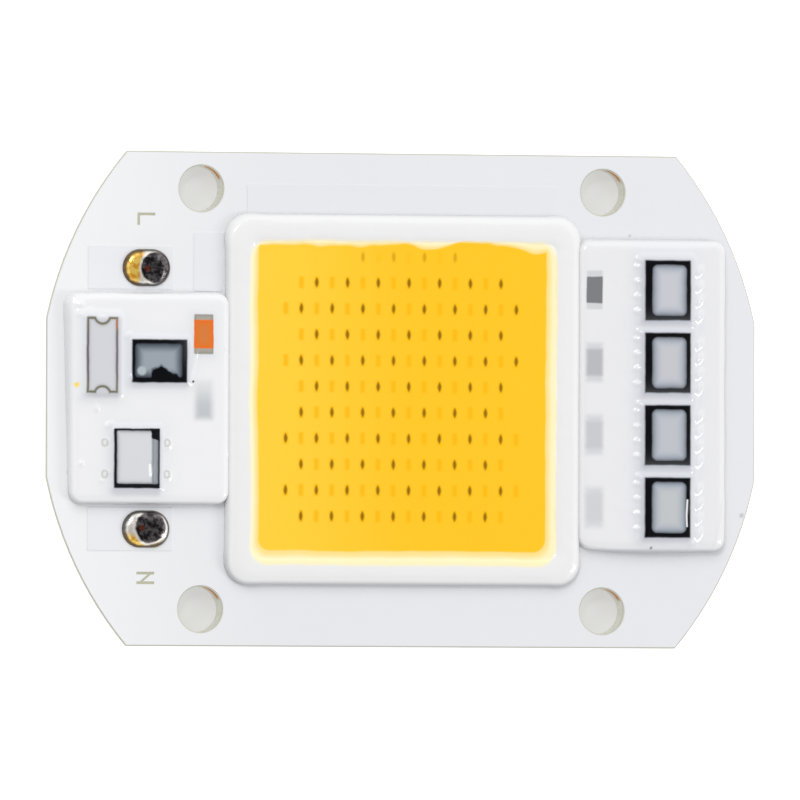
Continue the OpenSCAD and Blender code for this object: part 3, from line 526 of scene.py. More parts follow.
# %% Helper: a closed skin from a grid
def poured_skin(low, high, corner, cell, foot_z, height, sway=None):
    """A closed body on a flat foot, whose top stands at height(x, y) inside a rounded outline.

    Where sway is given, it moves each place sideways after its height is known.
    """
    half = (high - low) / 2
    middle = (high + low) / 2
    bm = bmesh.new()
    bmesh.ops.create_grid(
        bm, x_segments=round(2 * half.x / cell), y_segments=round(2 * half.y / cell), size=1.0
    )
    bmesh.ops.scale(bm, vec=(half.x, half.y, 1), verts=bm.verts)
    for vert in bm.verts:
        past_x = max(abs(vert.co.x) - half.x + corner, 0) / corner
        past_y = max(abs(vert.co.y) - half.y + corner, 0) / corner
        vert.co.x -= math.copysign(corner * past_x * (1 - math.sqrt(1 - past_y ** 2 / 2)), vert.co.x)
        vert.co.y -= math.copysign(corner * past_y * (1 - math.sqrt(1 - past_x ** 2 / 2)), vert.co.y)
    bmesh.ops.translate(bm, vec=(middle.x, middle.y, 0), verts=bm.verts)
    bmesh.ops.remove_doubles(bm, verts=bm.verts, dist=cell * 0.15)
    places = np.array([vert.co for vert in bm.verts])
    for vert, z in zip(bm.verts, height(places[:, 0], places[:, 1])):
        vert.co.z = z
    if sway:
        for vert, dx, dy in zip(bm.verts, *sway(places[:, 0], places[:, 1])):
            vert.co.x += dx
            vert.co.y += dy
    rim = [edge for edge in bm.edges if edge.is_boundary]
    grown = bmesh.ops.extrude_edge_only(bm, edges=rim)["geom"]
    for part in grown:
        if isinstance(part, bmesh.types.BMVert):
            part.co.z = foot_z
    bmesh.ops.holes_fill(bm, edges=[part for part in grown if isinstance(part, bmesh.types.BMEdge)])
    bmesh.ops.recalc_face_normals(bm, faces=bm.faces)
    return bm


def new_piece(name, bm, finish, slot, *stands_for):
    mesh = bpy.data.meshes.new(name)
    bm.to_mesh(mesh)
    bm.free()
    mesh.materials.append(finish)
    mesh.polygons.foreach_set("use_smooth", [True] * len(mesh.polygons))
    piece = bpy.data.objects.new(name, mesh)
    bpy.context.collection.objects.link(piece)
    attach(piece, "root")
    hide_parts(*stands_for)
    mesh.calc_loop_triangles()
    print("piece:", name, "-", len(mesh.loop_triangles), "triangles")


def distance_to(x, y, middle, half, corner=0.0):
    """The same distance as the node group's, worked out for arrays of places."""
    past_x = np.abs(x - middle[0]) - half[0] + corner
    past_y = np.abs(y - middle[1]) - half[1] + corner
    outside = np.hypot(np.maximum(past_x, 0), np.maximum(past_y, 0))
    return outside + np.minimum(np.maximum(past_x, past_y), 0) - corner


def slow_ripple(x, y, wave, seed):
    """A gentle deterministic unevenness between about -1 and 1, made of crossing waves."""
    turn = seed * 1.7
    total = 0
    for step, share in ((1.0, 0.5), (1.7, 0.3), (2.9, 0.2)):
        angle = turn + step * 2.1
        along = (x * math.cos(angle) + y * math.sin(angle)) * 2 * math.pi * step / wave
        across = (y * math.cos(angle) - x * math.sin(angle)) * 2 * math.pi * step / (wave * 1.3)
        total = total + share * np.sin(along + seed) * np.cos(across + seed * 2.3)
    return total


print("skin helpers ready")

# %% [markdown]
# ## The pottings
# The silicone was dispensed round the parts and sank against them. Its edge is a low wall with a round
# shoulder, its middle nearly level. It climbs every package in a small meniscus, lies on the top as a
# cushion, and shows the leads, which end just under it, as a row of small humps that catch the light. A
# hump's shape is its length, width and rise in mm, and the turn of its length from the X axis in degrees.

# %% Height of the potting's skin
POTTING_H = 1.05 * MM
POTTING_CORNER = 1.1 * MM
WALL_SHARE = 0.4
WALL_RUN = 0.16 * MM
SHOULDER = 0.9 * MM
MENISCUS = 0.42 * MM
FILM_EDGE = 0.012 * MM
FILM_MIDDLE = 0.045 * MM
FILM_RUN = 0.3 * MM
LEAD_PITCH = 1.27 * MM
RIPPLE = 0.02 * MM
RIPPLE_WAVE = 5 * MM
LEFT_LEAD = (0.32, 0.22, 0.15, 0)
RIGHT_LEAD = (0.5, 0.28, 0.2, 60)
DRIVER_UPPER_CORNER = (0.36, 0.26, 0.16, -30)
DRIVER_LOWER_CORNER = (0.32, 0.2, 0.15, 30)
FILM_RIDGE = (1.2, 0.14, 0.06, 78)
WALL_RIDGE = (2.2, 0.2, 0.08, 78)
MAINS_CORNER = (0.34, 0.22, 0.15, 40)
SUPPRESSOR_RIDGE = (0.95, 0.17, 0.11, 78)
BRIDGE_RIDGE = (0.55, 0.12, 0.075, 78)
# Each blister is given by its place from the left potting's upper left corner and its size, in mm
BLISTERS = (
    (0.5, 0.4, 0.16), (1.0, 1.05, 0.28), (1.6, 1.85, 0.42), (2.25, 9.45, 0.26), (0.95, 13.9, 0.24),
    (2.65, 15.3, 0.2), (5.0, 6.95, 0.24), (13.2, 4.6, 0.22), (13.5, 13.1, 0.24),
)
BLISTER_RISE = 0.42

solid_top = cad_box[1][2]
left_middle, left_half = (left_low + left_high) / 2, (left_high - left_low) / 2
right_middle, right_half = (right_low + right_high) / 2, (right_high - right_low) / 2


def beside(part, side_x, side_y, right, up):
    """A place in mm from a part's side or corner. The sides are -1, 0 for the middle, and 1."""
    middle, half, top = part
    return middle.x + side_x * half.x + right * MM, middle.y + side_y * half.y + up * MM


def potting_base(x, y, middle, half, seed):
    inset = -distance_to(x, y, middle, half, POTTING_CORNER)
    wall = 0.15 + 0.85 * np.clip(inset / WALL_RUN, 0, 1)
    round_shoulder = np.sqrt(1 - (1 - np.clip(inset / SHOULDER, 0, 1)) ** 2)
    height = mask_top + POTTING_H * (WALL_SHARE * wall + (1 - WALL_SHARE) * round_shoulder)
    return height + RIPPLE * slow_ripple(x, y, RIPPLE_WAVE, seed)


def over_part(x, y, height, part):
    """The skin's height once it has to pass over a part."""
    middle, half, top = part
    gap = distance_to(x, y, middle, half, 0.08 * MM)
    cushion = FILM_EDGE + FILM_MIDDLE * (1 - np.exp(np.minimum(gap, 0) / FILM_RUN))
    climb = np.exp(-((np.maximum(gap, 0) / MENISCUS) ** 1.3))
    return height + np.maximum(top + cushion - height, 0) * climb


def hump(x, y, place, shape):
    """A round swelling, longer along one direction."""
    long, wide, rise = (size * MM for size in shape[:3])
    turn = math.radians(shape[3])
    along = (x - place[0]) * math.cos(turn) + (y - place[1]) * math.sin(turn)
    across = (y - place[1]) * math.cos(turn) - (x - place[0]) * math.sin(turn)
    return rise * np.exp(-((along / long) ** 2 + (across / wide) ** 2))


def lead_humps(x, y, part, pitch, count):
    """The swellings over a package's leads, level ones on the left and slanted ones on the right."""
    total = 0
    for lead in range(count):
        up = (lead - (count - 1) / 2) * pitch / MM
        total = total + hump(x, y, beside(part, -1, 0, -0.5, up + 0.1), LEFT_LEAD)
        total = total + hump(x, y, beside(part, 1, 0, 0.78, up - 0.25), RIGHT_LEAD)
    return total


def right_height(x, y):
    height = potting_base(x, y, right_middle, right_half, 2.0)
    for part in drivers:
        height = height + lead_humps(x, y, part, 0.95 * LEAD_PITCH, 4)
        height = height + hump(x, y, beside(part, -1, 1, -0.3, 0.02), DRIVER_UPPER_CORNER)
        height = height + hump(x, y, beside(part, 1, -1, 0.2, -0.45), DRIVER_LOWER_CORNER)
    for part in drivers:
        height = over_part(x, y, height, part)
    height = height + hump(x, y, beside(drivers[3], 1, 0, -0.34, -0.3), FILM_RIDGE)
    near_wall = (right_high.x - 0.5 * MM, drivers[3][0].y - 0.8 * MM)
    height = height + hump(x, y, near_wall, WALL_RIDGE)
    return np.minimum(height, solid_top)


def left_height(x, y):
    height = potting_base(x, y, left_middle, left_half, 5.0)
    height = height + 0.6 * lead_humps(x, y, bridge, 2 * LEAD_PITCH, 2)
    for part in (fuse, suppressor, bridge):
        height = height + hump(x, y, beside(part, -1, 1, -0.35, 0.3), MAINS_CORNER)
    for part in (fuse, suppressor, capacitor, bridge):
        height = over_part(x, y, height, part)
    height = height + hump(x, y, beside(suppressor, 1, 0, 0.62, 0), SUPPRESSOR_RIDGE)
    height = height + hump(x, y, beside(bridge, 1, 0, -0.72, -1.0), BRIDGE_RIDGE)
    for right, down, size in BLISTERS:
        place = (left_low.x + right * MM, left_high.y - down * MM)
        height = height + hump(x, y, place, (size, size, size * BLISTER_RISE, 0))
    return np.minimum(height, solid_top)


def right_sway(x, y):
    """The lower edge of the right potting sagged in its middle, and its far edge is not quite straight."""
    low = np.clip((right_middle.y - y) / right_half.y, 0, 1) ** 8
    along = (x - right_low.x) / (2 * right_half.x)
    far = np.clip((x - right_middle.x) / right_half.x, 0, 1) ** 8
    sag = 0.36 * MM * (1 - along) ** 5 - 0.14 * MM * np.sin(np.clip(along * 1.2, 0, 1) * math.pi)
    return far * 0.06 * MM * slow_ripple(x, y, 14 * MM, 3.0), low * sag


def left_sway(x, y):
    """The outer edge of the left potting leans outwards at its upper end and inwards at its lower end."""
    outer = np.clip((left_middle.x - x) / left_half.x, 0, 1) ** 6
    up = (y - left_middle.y) / left_half.y
    ends = np.sign(up) * np.abs(up) ** 8
    return -outer * 0.24 * MM * (up + 0.3), ends * 0.08 * MM * slow_ripple(x, y, 9 * MM, 4.0)


print("pottings:", [round(v / MM, 2) for v in left_half * 2], [round(v / MM, 2) for v in right_half * 2])

# %% [markdown]
# The colours of the potting come from the parts under it. The material starts with white silicone and adds
# the parts one by one with the film group. Black packages get a wide bare frame, the orange capacitor and
# its end caps almost no film at all, and the small resistors only a faint shape.

# %% Helpers: draw a part into the silicone
# The grey of the painted halo shade round each part
HALO_SHADE_COLOR = paint(196, 200, 210)


def draw_part(tree, surface, part_distance, film_distance, body, film, reach, edge=0.07 * MM, halo=0.0):
    outputs = place_group(
        tree, film_group, Surface=surface, Part_distance=part_distance, Film_distance=film_distance,
        Body=body, Film=film, Film_reach=reach, Edge=edge, Halo=HALO_SHADE_COLOR, Halo_strength=halo,
    )
    return outputs["Color"]


def draw_flat(tree, surface, distance, color, edge):
    """A shape of one even colour."""
    return draw_part(tree, surface, distance, distance, color, color, 1.0, edge)


def bare_inside(tree, position, part, left, right, lower, upper, corner):
    """Distance to the field that is left inside a part when each side keeps a bare strip, given in mm."""
    middle, half, top = part
    field_middle = beside(part, 0, 0, (left - right) / 2, (lower - upper) / 2)
    field_half = (half.x - (left + right) / 2 * MM, half.y - (lower + upper) / 2 * MM)
    return rectangle(tree, position, field_middle, field_half, corner * MM)


def silicone_start(name, color, middle, half, corner):
    """White silicone on a given outline, with a painted contact shadow along its foot.

    The painted shadow is strong on the near side, and weak on the far side, which faces the main light.
    """
    finish, tree, shader, position = new_finish(
        name, Roughness=0.35, Specular_IOR_Level=0.25, Coat_Weight=1.0, Coat_Roughness=0.05, Coat_IOR=1.42
    )
    cured = place_group(tree, cured_group, Position=position, Color=color, Tone_change=0.012)
    bump(tree, shader, cured["Height"], 0.004 * MM)
    here = axes(tree, position)
    # Painted contact shadow: grey along the foot of the wall, strong on the near side
    low_down = fade(tree, here[2], mask_top + 0.08 * MM, mask_top + 0.5 * MM, 1.0, 0.0)
    outline = rectangle(tree, position, middle, half, corner)
    foot = larger(tree, low_down, fade(tree, outline, -0.36 * MM, 0.04 * MM))
    up = calc(tree, "DIVIDE", minus(tree, here[1], middle[1]), half[1])
    near_side, far_side = fade(tree, up, -0.97, -0.75, 0.75, 0.24), fade(tree, up, 0.7, 0.95, 0.0, 0.1)
    share = times(tree, foot, minus(tree, near_side, far_side))
    return finish, tree, shader, position, mix(tree, share, cured["Color"], paint(166, 168, 175))


def cast_shade(tree, surface, position, part, right, up, strength):
    """A soft grey shade beside a dark part, seen through the silicone."""
    shade = rectangle(tree, position, beside(part, 0, 0, right, up), part[1], 0.3 * MM)
    return tint(tree, surface, shade, 0.4, -0.2, paint(188, 190, 197), strength)


# %% Finish: right potting
right_silicone, tree, shader, position, surface = silicone_start(
    "white silicone, right", paint(235, 235, 238), right_middle, right_half, POTTING_CORNER
)
shaken = unsteady(tree, position, 0.1 * MM, 900)
ragged = unsteady(tree, position, 0.4 * MM, 300)
shades = (paint(126, 127, 130), paint(186, 187, 191), paint(202, 203, 207), paint(210, 211, 214))
softness = (0.1 * MM, 0.28 * MM, 0.34 * MM, 0.4 * MM)
for part, shade, soft in zip(resistors, shades, softness):
    middle, half = beside(part, 0, 0, -0.17, 0), (part[1].x - 0.1 * MM, part[1].y)
    whole = rectangle(tree, shaken, middle, half, 0.1 * MM)
    surface = draw_flat(tree, surface, whole, paint(213, 214, 217), soft)
    core = rectangle(tree, shaken, middle, (half[0], half[1] - 0.5 * MM), 0.05 * MM)
    surface = draw_flat(tree, surface, core, shade, soft * 0.7)
fields = (paint(201, 202, 209), paint(199, 200, 206), paint(192, 196, 202), paint(194, 198, 201))
for part, field in zip(drivers, fields):
    whole = rectangle(tree, shaken, part[0], part[1], 0.05 * MM)
    inner = bare_inside(tree, shaken, part, 0.56, 0.32, 0.34, 0.32, 0.5)
    surface = cast_shade(tree, surface, shaken, part, -0.12, -0.15, 0.6)
    milky = tint(tree, paint(176, 184, 196), inner, -0.1, -1.0, field)
    surface = draw_part(tree, surface, whole, inner, paint(4, 5, 10), milky, 0.2 * MM, 0.1 * MM, 0.85)

# The film stands up in a ridge along one edge of the last driver, with a painted highlight on it, and a
# speck of dust lies below it
painted_glint = rectangle(tree, ragged, beside(drivers[3], 1, 0, -0.3, -0.4), (0.05 * MM, 1.1 * MM), 0.05 * MM)
surface = tint(tree, surface, painted_glint, 0.07, -0.03, paint(252, 252, 254), 0.9)
speck = disc(tree, shaken, 20.85 * MM, -11.85 * MM, 0.1 * MM)
surface = tint(tree, surface, speck, 0.08, -0.05, paint(70, 70, 76), 0.7)
give(tree, shader, Base_Color=surface)

RIGHT_CELL = 0.062 * MM
skin = poured_skin(right_low, right_high, POTTING_CORNER, RIGHT_CELL, mask_top, right_height, right_sway)
new_piece("right_potting_skin", skin, right_silicone, "silicone", "right_potting")

# %% [markdown]
# On the left, each part is different. The fuse has a round notch in each end, which is the larger of two
# distances: inside the fuse, but outside a disc. The suppressor's film has a ragged hole. It is a small
# mountain shape, where three straight lines meet, and a line's distance is one dot product.

# %% Helper: distance past a straight line
def line_distance(tree, position, x, y, degrees):
    """Distance past a line through a point, measured along the direction that the angle gives."""
    angle = math.radians(degrees)
    offset = move(tree, "SUBTRACT", position, (x, y, 0))
    return move(tree, "DOT_PRODUCT", offset, (math.cos(angle), math.sin(angle), 0))


# %% Finish: left potting
left_silicone, tree, shader, position, surface = silicone_start(
    "white silicone, left", paint(240, 240, 242), left_middle, left_half, POTTING_CORNER
)
shaken = unsteady(tree, position, 0.1 * MM, 900)
ragged = unsteady(tree, position, 0.5 * MM, 1500)

middle, half, top = bleeder
ghost = rectangle(tree, shaken, beside(bleeder, 0, 0, -0.2, 0.15), (half.x - 0.05 * MM, half.y), 0.2 * MM)
ghost_up = line_distance(tree, position, *middle, 90)
ghost_shade = tint(tree, paint(195, 199, 203), ghost_up, -0.6, 1.6, paint(224, 226, 228))
surface = draw_flat(tree, surface, ghost, ghost_shade, 0.4 * MM)
for part, right, up in ((fuse, 0.18, -0.2), (suppressor, 0.1, -0.25), (bridge, 0.0, -0.45)):
    surface = cast_shade(tree, surface, shaken, part, right, up, 0.55)

# The fuse: a thin olive rim, warmer down its sides, with a bright streak of copper near the top
middle, half, top = fuse
NOTCH_R = 0.57 * MM
NOTCH_DEPTH = 0.45 * MM
notch_y = half.y + NOTCH_R - NOTCH_DEPTH
whole = rectangle(tree, shaken, middle, half, 0.05 * MM)
for side in (-1, 1):
    notch = disc(tree, shaken, middle.x, middle.y + side * notch_y, NOTCH_R)
    whole = larger(tree, whole, times(tree, notch, -1.0))
from_ends = calc(tree, "ABSOLUTE", line_distance(tree, position, *middle, 90))
rim_color = tint(tree, paint(108, 94, 102), from_ends, 1.2, 2.6, paint(118, 114, 94))
streak = disc(tree, ragged, *beside(fuse, 1, 1, 0, -0.6), 0.4 * MM)
rim_color = tint(tree, rim_color, streak, 0.15, -0.1, paint(176, 108, 72))
inner = plus(tree, whole, 0.15 * MM)
surface = draw_part(tree, surface, whole, inner, rim_color, paint(211, 213, 218), 0.08 * MM, 0.1 * MM, 0.5)

# The suppressor: a wide black frame, a hole in the film, and a round bubble
middle, half, top = suppressor
whole = rectangle(tree, shaken, middle, half, 0.05 * MM)
inner = bare_inside(tree, shaken, suppressor, 0.22, 0.4, 0.36, 0.3, 0.3)
peak = beside(suppressor, 0, 0, 0.1, -0.45)
slopes = larger(tree, line_distance(tree, ragged, *peak, 118), line_distance(tree, ragged, *peak, 62))
steep_side = line_distance(tree, ragged, *beside(suppressor, 0, 0, -0.55, -1.0), 165)
hole = larger(tree, slopes, steep_side)
inner = larger(tree, inner, times(tree, hole, -3.0))
milky = tint(tree, paint(98, 108, 120), inner, -0.1, -0.9, paint(155, 164, 173))
surface = draw_part(tree, surface, whole, inner, paint(3, 4, 9), milky, 0.16 * MM, 0.09 * MM, 0.6)
bubble = disc(tree, shaken, *beside(suppressor, 0, 0, -1.5, -0.8), 0.36 * MM)
surface = draw_flat(tree, surface, bubble, paint(178, 187, 194), 0.12 * MM)

# The capacitor: grey end caps, and an orange body that is paler in its middle
middle, half, top = capacitor
whole = rectangle(tree, shaken, middle, half, 0.1 * MM)
surface = draw_part(
    tree, surface, whole, whole, paint(140, 136, 122), paint(176, 172, 162), 0.16 * MM, halo=0.3
)
core = rectangle(tree, shaken, middle, (half.x + 0.02 * MM, half.y - 0.45 * MM), 0.05 * MM)
surface = draw_part(tree, surface, core, core, paint(240, 110, 0), paint(206, 132, 70), 0.55 * MM)

# The rectifier: a narrow dark frame, a grey strip, a painted highlight on a ridge of film and a dark corner
# on the right
middle, half, top = bridge
whole = rectangle(tree, shaken, middle, half, 0.05 * MM)
inner = bare_inside(tree, shaken, bridge, 0.2, 0.14, 0.32, 0.14, 0.2)
surface = draw_part(
    tree, surface, whole, inner, paint(18, 20, 26), paint(216, 218, 222), 0.12 * MM, halo=0.6
)
strip_half = (0.26 * MM, half.y - 0.5 * MM)
strip = rectangle(tree, shaken, beside(bridge, 1, 0, -0.4, -0.1), strip_half, 0.1 * MM)
surface = draw_part(
    tree, surface, strip, strip, paint(110, 116, 124), paint(168, 173, 180), 0.16 * MM, 0.12 * MM
)
corner_side = line_distance(tree, ragged, *beside(bridge, 1, 1, -0.72, -0.4), 190)
corner_slope = line_distance(tree, ragged, *beside(bridge, 1, 1, -0.3, -0.95), 232)
dark_corner = larger(tree, larger(tree, corner_side, corner_slope), whole)
surface = draw_flat(tree, surface, dark_corner, paint(14, 16, 20), 0.07 * MM)
# Painted highlight: a white streak of reflected light on the film's ridge
painted_glint = rectangle(tree, shaken, beside(bridge, 1, 0, -0.82, -0.95), (0.07 * MM, 0.5 * MM), 0.07 * MM)
surface = tint(tree, surface, painted_glint, 0.08, -0.04, paint(254, 254, 255))

# Rings of thinner silicone over the rectifier's leads, a spot of phosphor and a speck of dust
for side, out in ((-1, 0.72), (1, 0.66)):
    for lead in (-1, 1):
        place = beside(bridge, side, 0, side * out, lead * LEAD_PITCH / MM)
        ring = calc(tree, "ABSOLUTE", rectangle(tree, shaken, place, (0.2 * MM, 0.26 * MM), 0.16 * MM))
        surface = tint(tree, surface, ring, 0.14, 0.02, paint(196, 196, 188), 0.7)
stain = disc(tree, shaken, left_low.x + 0.55 * MM, 1.05 * MM, 0.2 * MM)
surface = draw_flat(tree, surface, stain, paint(255, 220, 96), 0.12 * MM)
speck = disc(tree, shaken, *beside(suppressor, 1, 0, 0.55, -1.62), 0.1 * MM)
surface = draw_flat(tree, surface, speck, paint(52, 56, 66), 0.06 * MM)
give(tree, shader, Base_Color=surface)

LEFT_CELL = 0.06 * MM
skin = poured_skin(left_low, left_high, POTTING_CORNER, LEFT_CELL, mask_top, left_height, left_sway)
new_piece("left_potting_skin", skin, left_silicone, "silicone", "left_potting")

# %% [markdown]
# ## The dam
# The dam is one bead of stiff silicone, laid in a loop by a needle. It sagged before it cured, so its
# section is a superellipse, flatter on top than a circle, and it is fuller outside each corner, where the
# needle slowed down. The loop is a grid again: one side of the grid runs round the crest line, the other
# across the section, and the seams are merged. Noise makes the bead swell and wander a little. Both the bed
# and the dam show a pale fringe, where the silicone soaked up phosphor, so the fringe is a shared group.

# %% Node group: fringe of the bed
SLANT = -0.23 * MM
fringe_group, taken, given = new_group(
    "fringe of the bed", {"Position": "Vector", "Bed": "Color", "Beyond": "Color"}, {"Color": "Color"}
)
g = fringe_group
wavy = unsteady(g, taken["Position"], 0.4 * MM, 210)
top_edge = line_distance(g, unsteady(g, taken["Position"], 2.6 * MM, 180), 0, 12.55 * MM, 90)
from_yellow = rectangle(g, wavy, (SLANT, 0.4 * MM), (12.17 * MM, 12.63 * MM), 1.0 * MM)
from_yellow = larger(g, from_yellow, top_edge)
from_fringe = rectangle(g, wavy, (-0.14 * MM, -0.26 * MM), (13.1 * MM, 13.26 * MM), 1.7 * MM)
across_fringe = calc(g, "DIVIDE", from_yellow, minus(g, from_yellow, from_fringe))
soaked = mix(g, fade(g, across_fringe, 0.1, 0.6), paint(254, 225, 142), paint(255, 244, 196))
soaked = tint(g, soaked, from_fringe, -0.3, 0.06, taken["Beyond"])
feed(g, given["Color"], tint(g, taken["Bed"], from_yellow, -0.08, 0.1, soaked))
print("group:", g.name)

# %% Piece: silicone dam
BEAD_HALF = 1.3 * MM
BEAD_H = dam_top - mask_top
crest_half = dam_half - Vector((BEAD_HALF, BEAD_HALF))
CREST_CORNER = 1.7 * MM
STATIONS = 1100
SECTION_STEPS = 30
SQUARENESS = 2.7
CORNER_BULGE = 0.5 * MM
SWELL_WAVE = 3.2 * MM
DRIFT = 0.4 * MM


def crest_line(share):
    """A place on the crest and the outward direction there, for a share of the way round from 0 to 1."""
    straight = [2 * (crest_half.y - CREST_CORNER), 2 * (crest_half.x - CREST_CORNER)] * 2
    bend = math.pi / 2 * CREST_CORNER
    left = share * (sum(straight) + 4 * bend)
    for turn in range(4):
        corner = Matrix.Rotation(turn * math.pi / 2, 2)
        reach = (crest_half.x, crest_half.y) if turn % 2 == 0 else (crest_half.y, crest_half.x)
        if left <= straight[turn]:
            along = left - straight[turn] / 2
            return corner @ Vector((reach[0], along)), corner @ Vector((1, 0))
        left -= straight[turn]
        if left <= bend:
            angle = left / CREST_CORNER
            out = Vector((math.cos(angle), math.sin(angle)))
            centre = Vector((reach[0] - CREST_CORNER, reach[1] - CREST_CORNER))
            return corner @ (centre + out * CREST_CORNER), corner @ out
        left -= bend
    return crest_line(0)


bm = bmesh.new()
bmesh.ops.create_grid(bm, x_segments=STATIONS, y_segments=SECTION_STEPS, size=0.5)
for vert in bm.verts:
    place, out = crest_line(min(vert.co.x + 0.5, 1.0) % 1.0)
    step = round((vert.co.y + 0.5) * SECTION_STEPS) % SECTION_STEPS
    across = BEAD_HALF * math.cos(math.pi * step / (SECTION_STEPS - 1))
    rise = BEAD_H * max(1 - abs(across / BEAD_HALF) ** SQUARENESS, 0) ** (1 / SQUARENESS)
    spot = Vector((place.x, place.y, across)) / SWELL_WAVE
    swell = 1 + 0.05 * noise.noise(spot) + 0.02 * noise.noise(spot * 4)
    inward = max(-across / BEAD_HALF, 0)
    drift = DRIFT * noise.noise(spot * 1.6) * inward * (1 - inward)
    bulge = CORNER_BULGE * (2 * abs(out.x * out.y)) ** 1.5 * max(across / BEAD_HALF, 0) ** 1.5
    place = place + out * (across + drift + bulge)
    vert.co = (place.x, place.y, mask_top + rise * min(swell, 1.0 if rise > 0.9 * BEAD_H else 1.05))
bmesh.ops.remove_doubles(bm, verts=bm.verts, dist=0.002 * MM)
bmesh.ops.recalc_face_normals(bm, faces=bm.faces)

dam_white, tree, shader, position, surface = silicone_start(
    "white silicone, dam", paint(238, 238, 238), (0, 0), dam_half, 1.8 * MM
)
fringed = place_group(tree, fringe_group, Position=position, Bed=paint(254, 226, 140), Beyond=surface)
give(tree, shader, Base_Color=fringed["Color"])
new_piece("silicone_dam_bead", bm, dam_white, "silicone", "silicone_dam")

# %% [markdown]
# ## The phosphor bed
# Phosphor powder in clear silicone looks evenly yellow where it is deep, and paler where it thins out over
# the foot of the dam. The chips show through as small marks: every second one dark and slim, the others
# bright and wider. They follow the chip grid, so the marks are worked out from it and not placed one by
# one. The nearest grid point is a rounding, and its row and column are whole numbers that a remainder
# sorts into kinds. The chips lie deep, and are looked at from a little to the left, so their marks on the
# surface are drawn a little to that side of them.

# %% Finish: phosphor
CHIP_PITCH = 1.3 * MM
ROW_PITCH = 2.1 * MM
MARK_SHIFT = 0.33 * MM
FIRST_CHIP_X = -9.75 * MM - MARK_SHIFT
TOP_ROW_Y = 9.48 * MM
LAST_ROW = 9
SHORT_ROW_SHARE = 0.4

phosphor, tree, shader, position = new_finish(
    "phosphor", Roughness=0.35, Specular_IOR_Level=0.15, Coat_Weight=0.3, Coat_Roughness=0.1
)
here = axes(tree, unsteady(tree, position, 0.06 * MM, 1500))


def nearest_chip(from_first, pitch):
    """The number of the nearest column or row, and the distance from its middle line."""
    place = calc(tree, "DIVIDE", from_first, pitch)
    number = calc(tree, "ROUND", place)
    past_line = times(tree, minus(tree, place, number), pitch)
    return number, calc(tree, "ABSOLUTE", past_line)


column, across = nearest_chip(minus(tree, here[0], FIRST_CHIP_X), CHIP_PITCH)
row, along = nearest_chip(minus(tree, TOP_ROW_Y, here[1]), ROW_PITCH)
odd = calc(tree, "FLOORED_MODULO", plus(tree, column, row), 2.0)
kind = calc(tree, "FLOORED_MODULO", row, 5.0)
wide_row = calc(tree, "COMPARE", calc(tree, "ABSOLUTE", minus(tree, kind, 2.0)), 1.0, 0.1)
from_middle = calc(tree, "ABSOLUTE", minus(tree, column, 7.5))
in_full_row = calc(tree, "LESS_THAN", from_middle, plus(tree, 7.0, wide_row))
from_middle_row = calc(tree, "ABSOLUTE", minus(tree, row, LAST_ROW / 2))
in_full_rows = calc(tree, "LESS_THAN", from_middle_row, 5.0)
short_row = times(tree, calc(tree, "COMPARE", row, -1.0, 0.1), SHORT_ROW_SHARE)
in_short = times(tree, calc(tree, "COMPARE", column, 8.0, 3.1), short_row)
shown = plus(tree, times(tree, in_full_row, in_full_rows), in_short)

narrowing = calc(tree, "POWER", calc(tree, "DIVIDE", along, 0.4 * MM), 2.0)
spindle = plus(tree, calc(tree, "DIVIDE", across, 0.15 * MM), narrowing)
dark_mark = times(tree, fade(tree, spindle, 1.7, 0.3), minus(tree, 1.0, odd))
light_mark = times(tree, fade(tree, across, 0.34 * MM, 0.06 * MM), fade(tree, along, 0.62 * MM, 0.34 * MM))
cured = place_group(tree, cured_group, Position=position, Color=paint(255, 199, 34), Tone_change=0.012)
# Painted light: the yellow is paler towards the left end, where more light falls
yellow = tint(tree, cured["Color"], here[0], 2, -12, paint(255, 209, 62), 0.85)
light_share = times(tree, light_mark, times(tree, shown, 0.85))
yellow = mix(tree, light_share, yellow, paint(250, 186, 0))
yellow = mix(tree, times(tree, dark_mark, shown), yellow, paint(150, 108, 2))
fringed = place_group(tree, fringe_group, Position=position, Bed=yellow, Beyond=paint(246, 245, 238))
give(tree, shader, Base_Color=fringed["Color"])
marks = times(tree, plus(tree, dark_mark, light_mark), 0.6)
bump(tree, shader, plus(tree, cured["Height"], marks), 0.01 * MM)
print("finish:", phosphor.name)

# %% Piece: phosphor bed
BED_HALF = 13.15 * MM
BED_CORNER = 1.1 * MM
BED_CELL = 0.1 * MM
bed_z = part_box("phosphor_bed")[1].z


def bed_height(x, y):
    inset = -distance_to(x, y, (0, 0), (BED_HALF, BED_HALF), BED_CORNER)
    climb = 0.05 * MM * np.exp(-np.maximum(inset - 0.15 * MM, 0) / (0.5 * MM))
    crown = 0.02 * MM * np.cos(x / BED_HALF * math.pi / 2) * np.cos(y / BED_HALF * math.pi / 2)
    return bed_z + climb + crown + 0.006 * MM * slow_ripple(x, y, 6 * MM, 1.0)


bed_end = Vector((BED_HALF, BED_HALF, 0))
skin = poured_skin(-bed_end, bed_end, BED_CORNER, BED_CELL, mask_top, bed_height)
new_piece("phosphor_skin", skin, phosphor, "phosphor", "phosphor_bed")

# %% [markdown]
# ## Solder domes
# Hand-soldered pads are filled with a domed, mirror-bright pool. The dome is the same poured skin on a
# stadium outline, with a few low swells that bend its reflections. A round dark reflection is painted on
# the right, for the dark above that the solder mirrors, and round it runs a painted bright crescent of
# reflected light. A painted dark band round the edge stands for shade and dark reflection there, and flux
# has dried to gold and amber in the shallow metal outside the crescent.

# %% Pieces: solder domes
DOME_CELL = 0.045 * MM


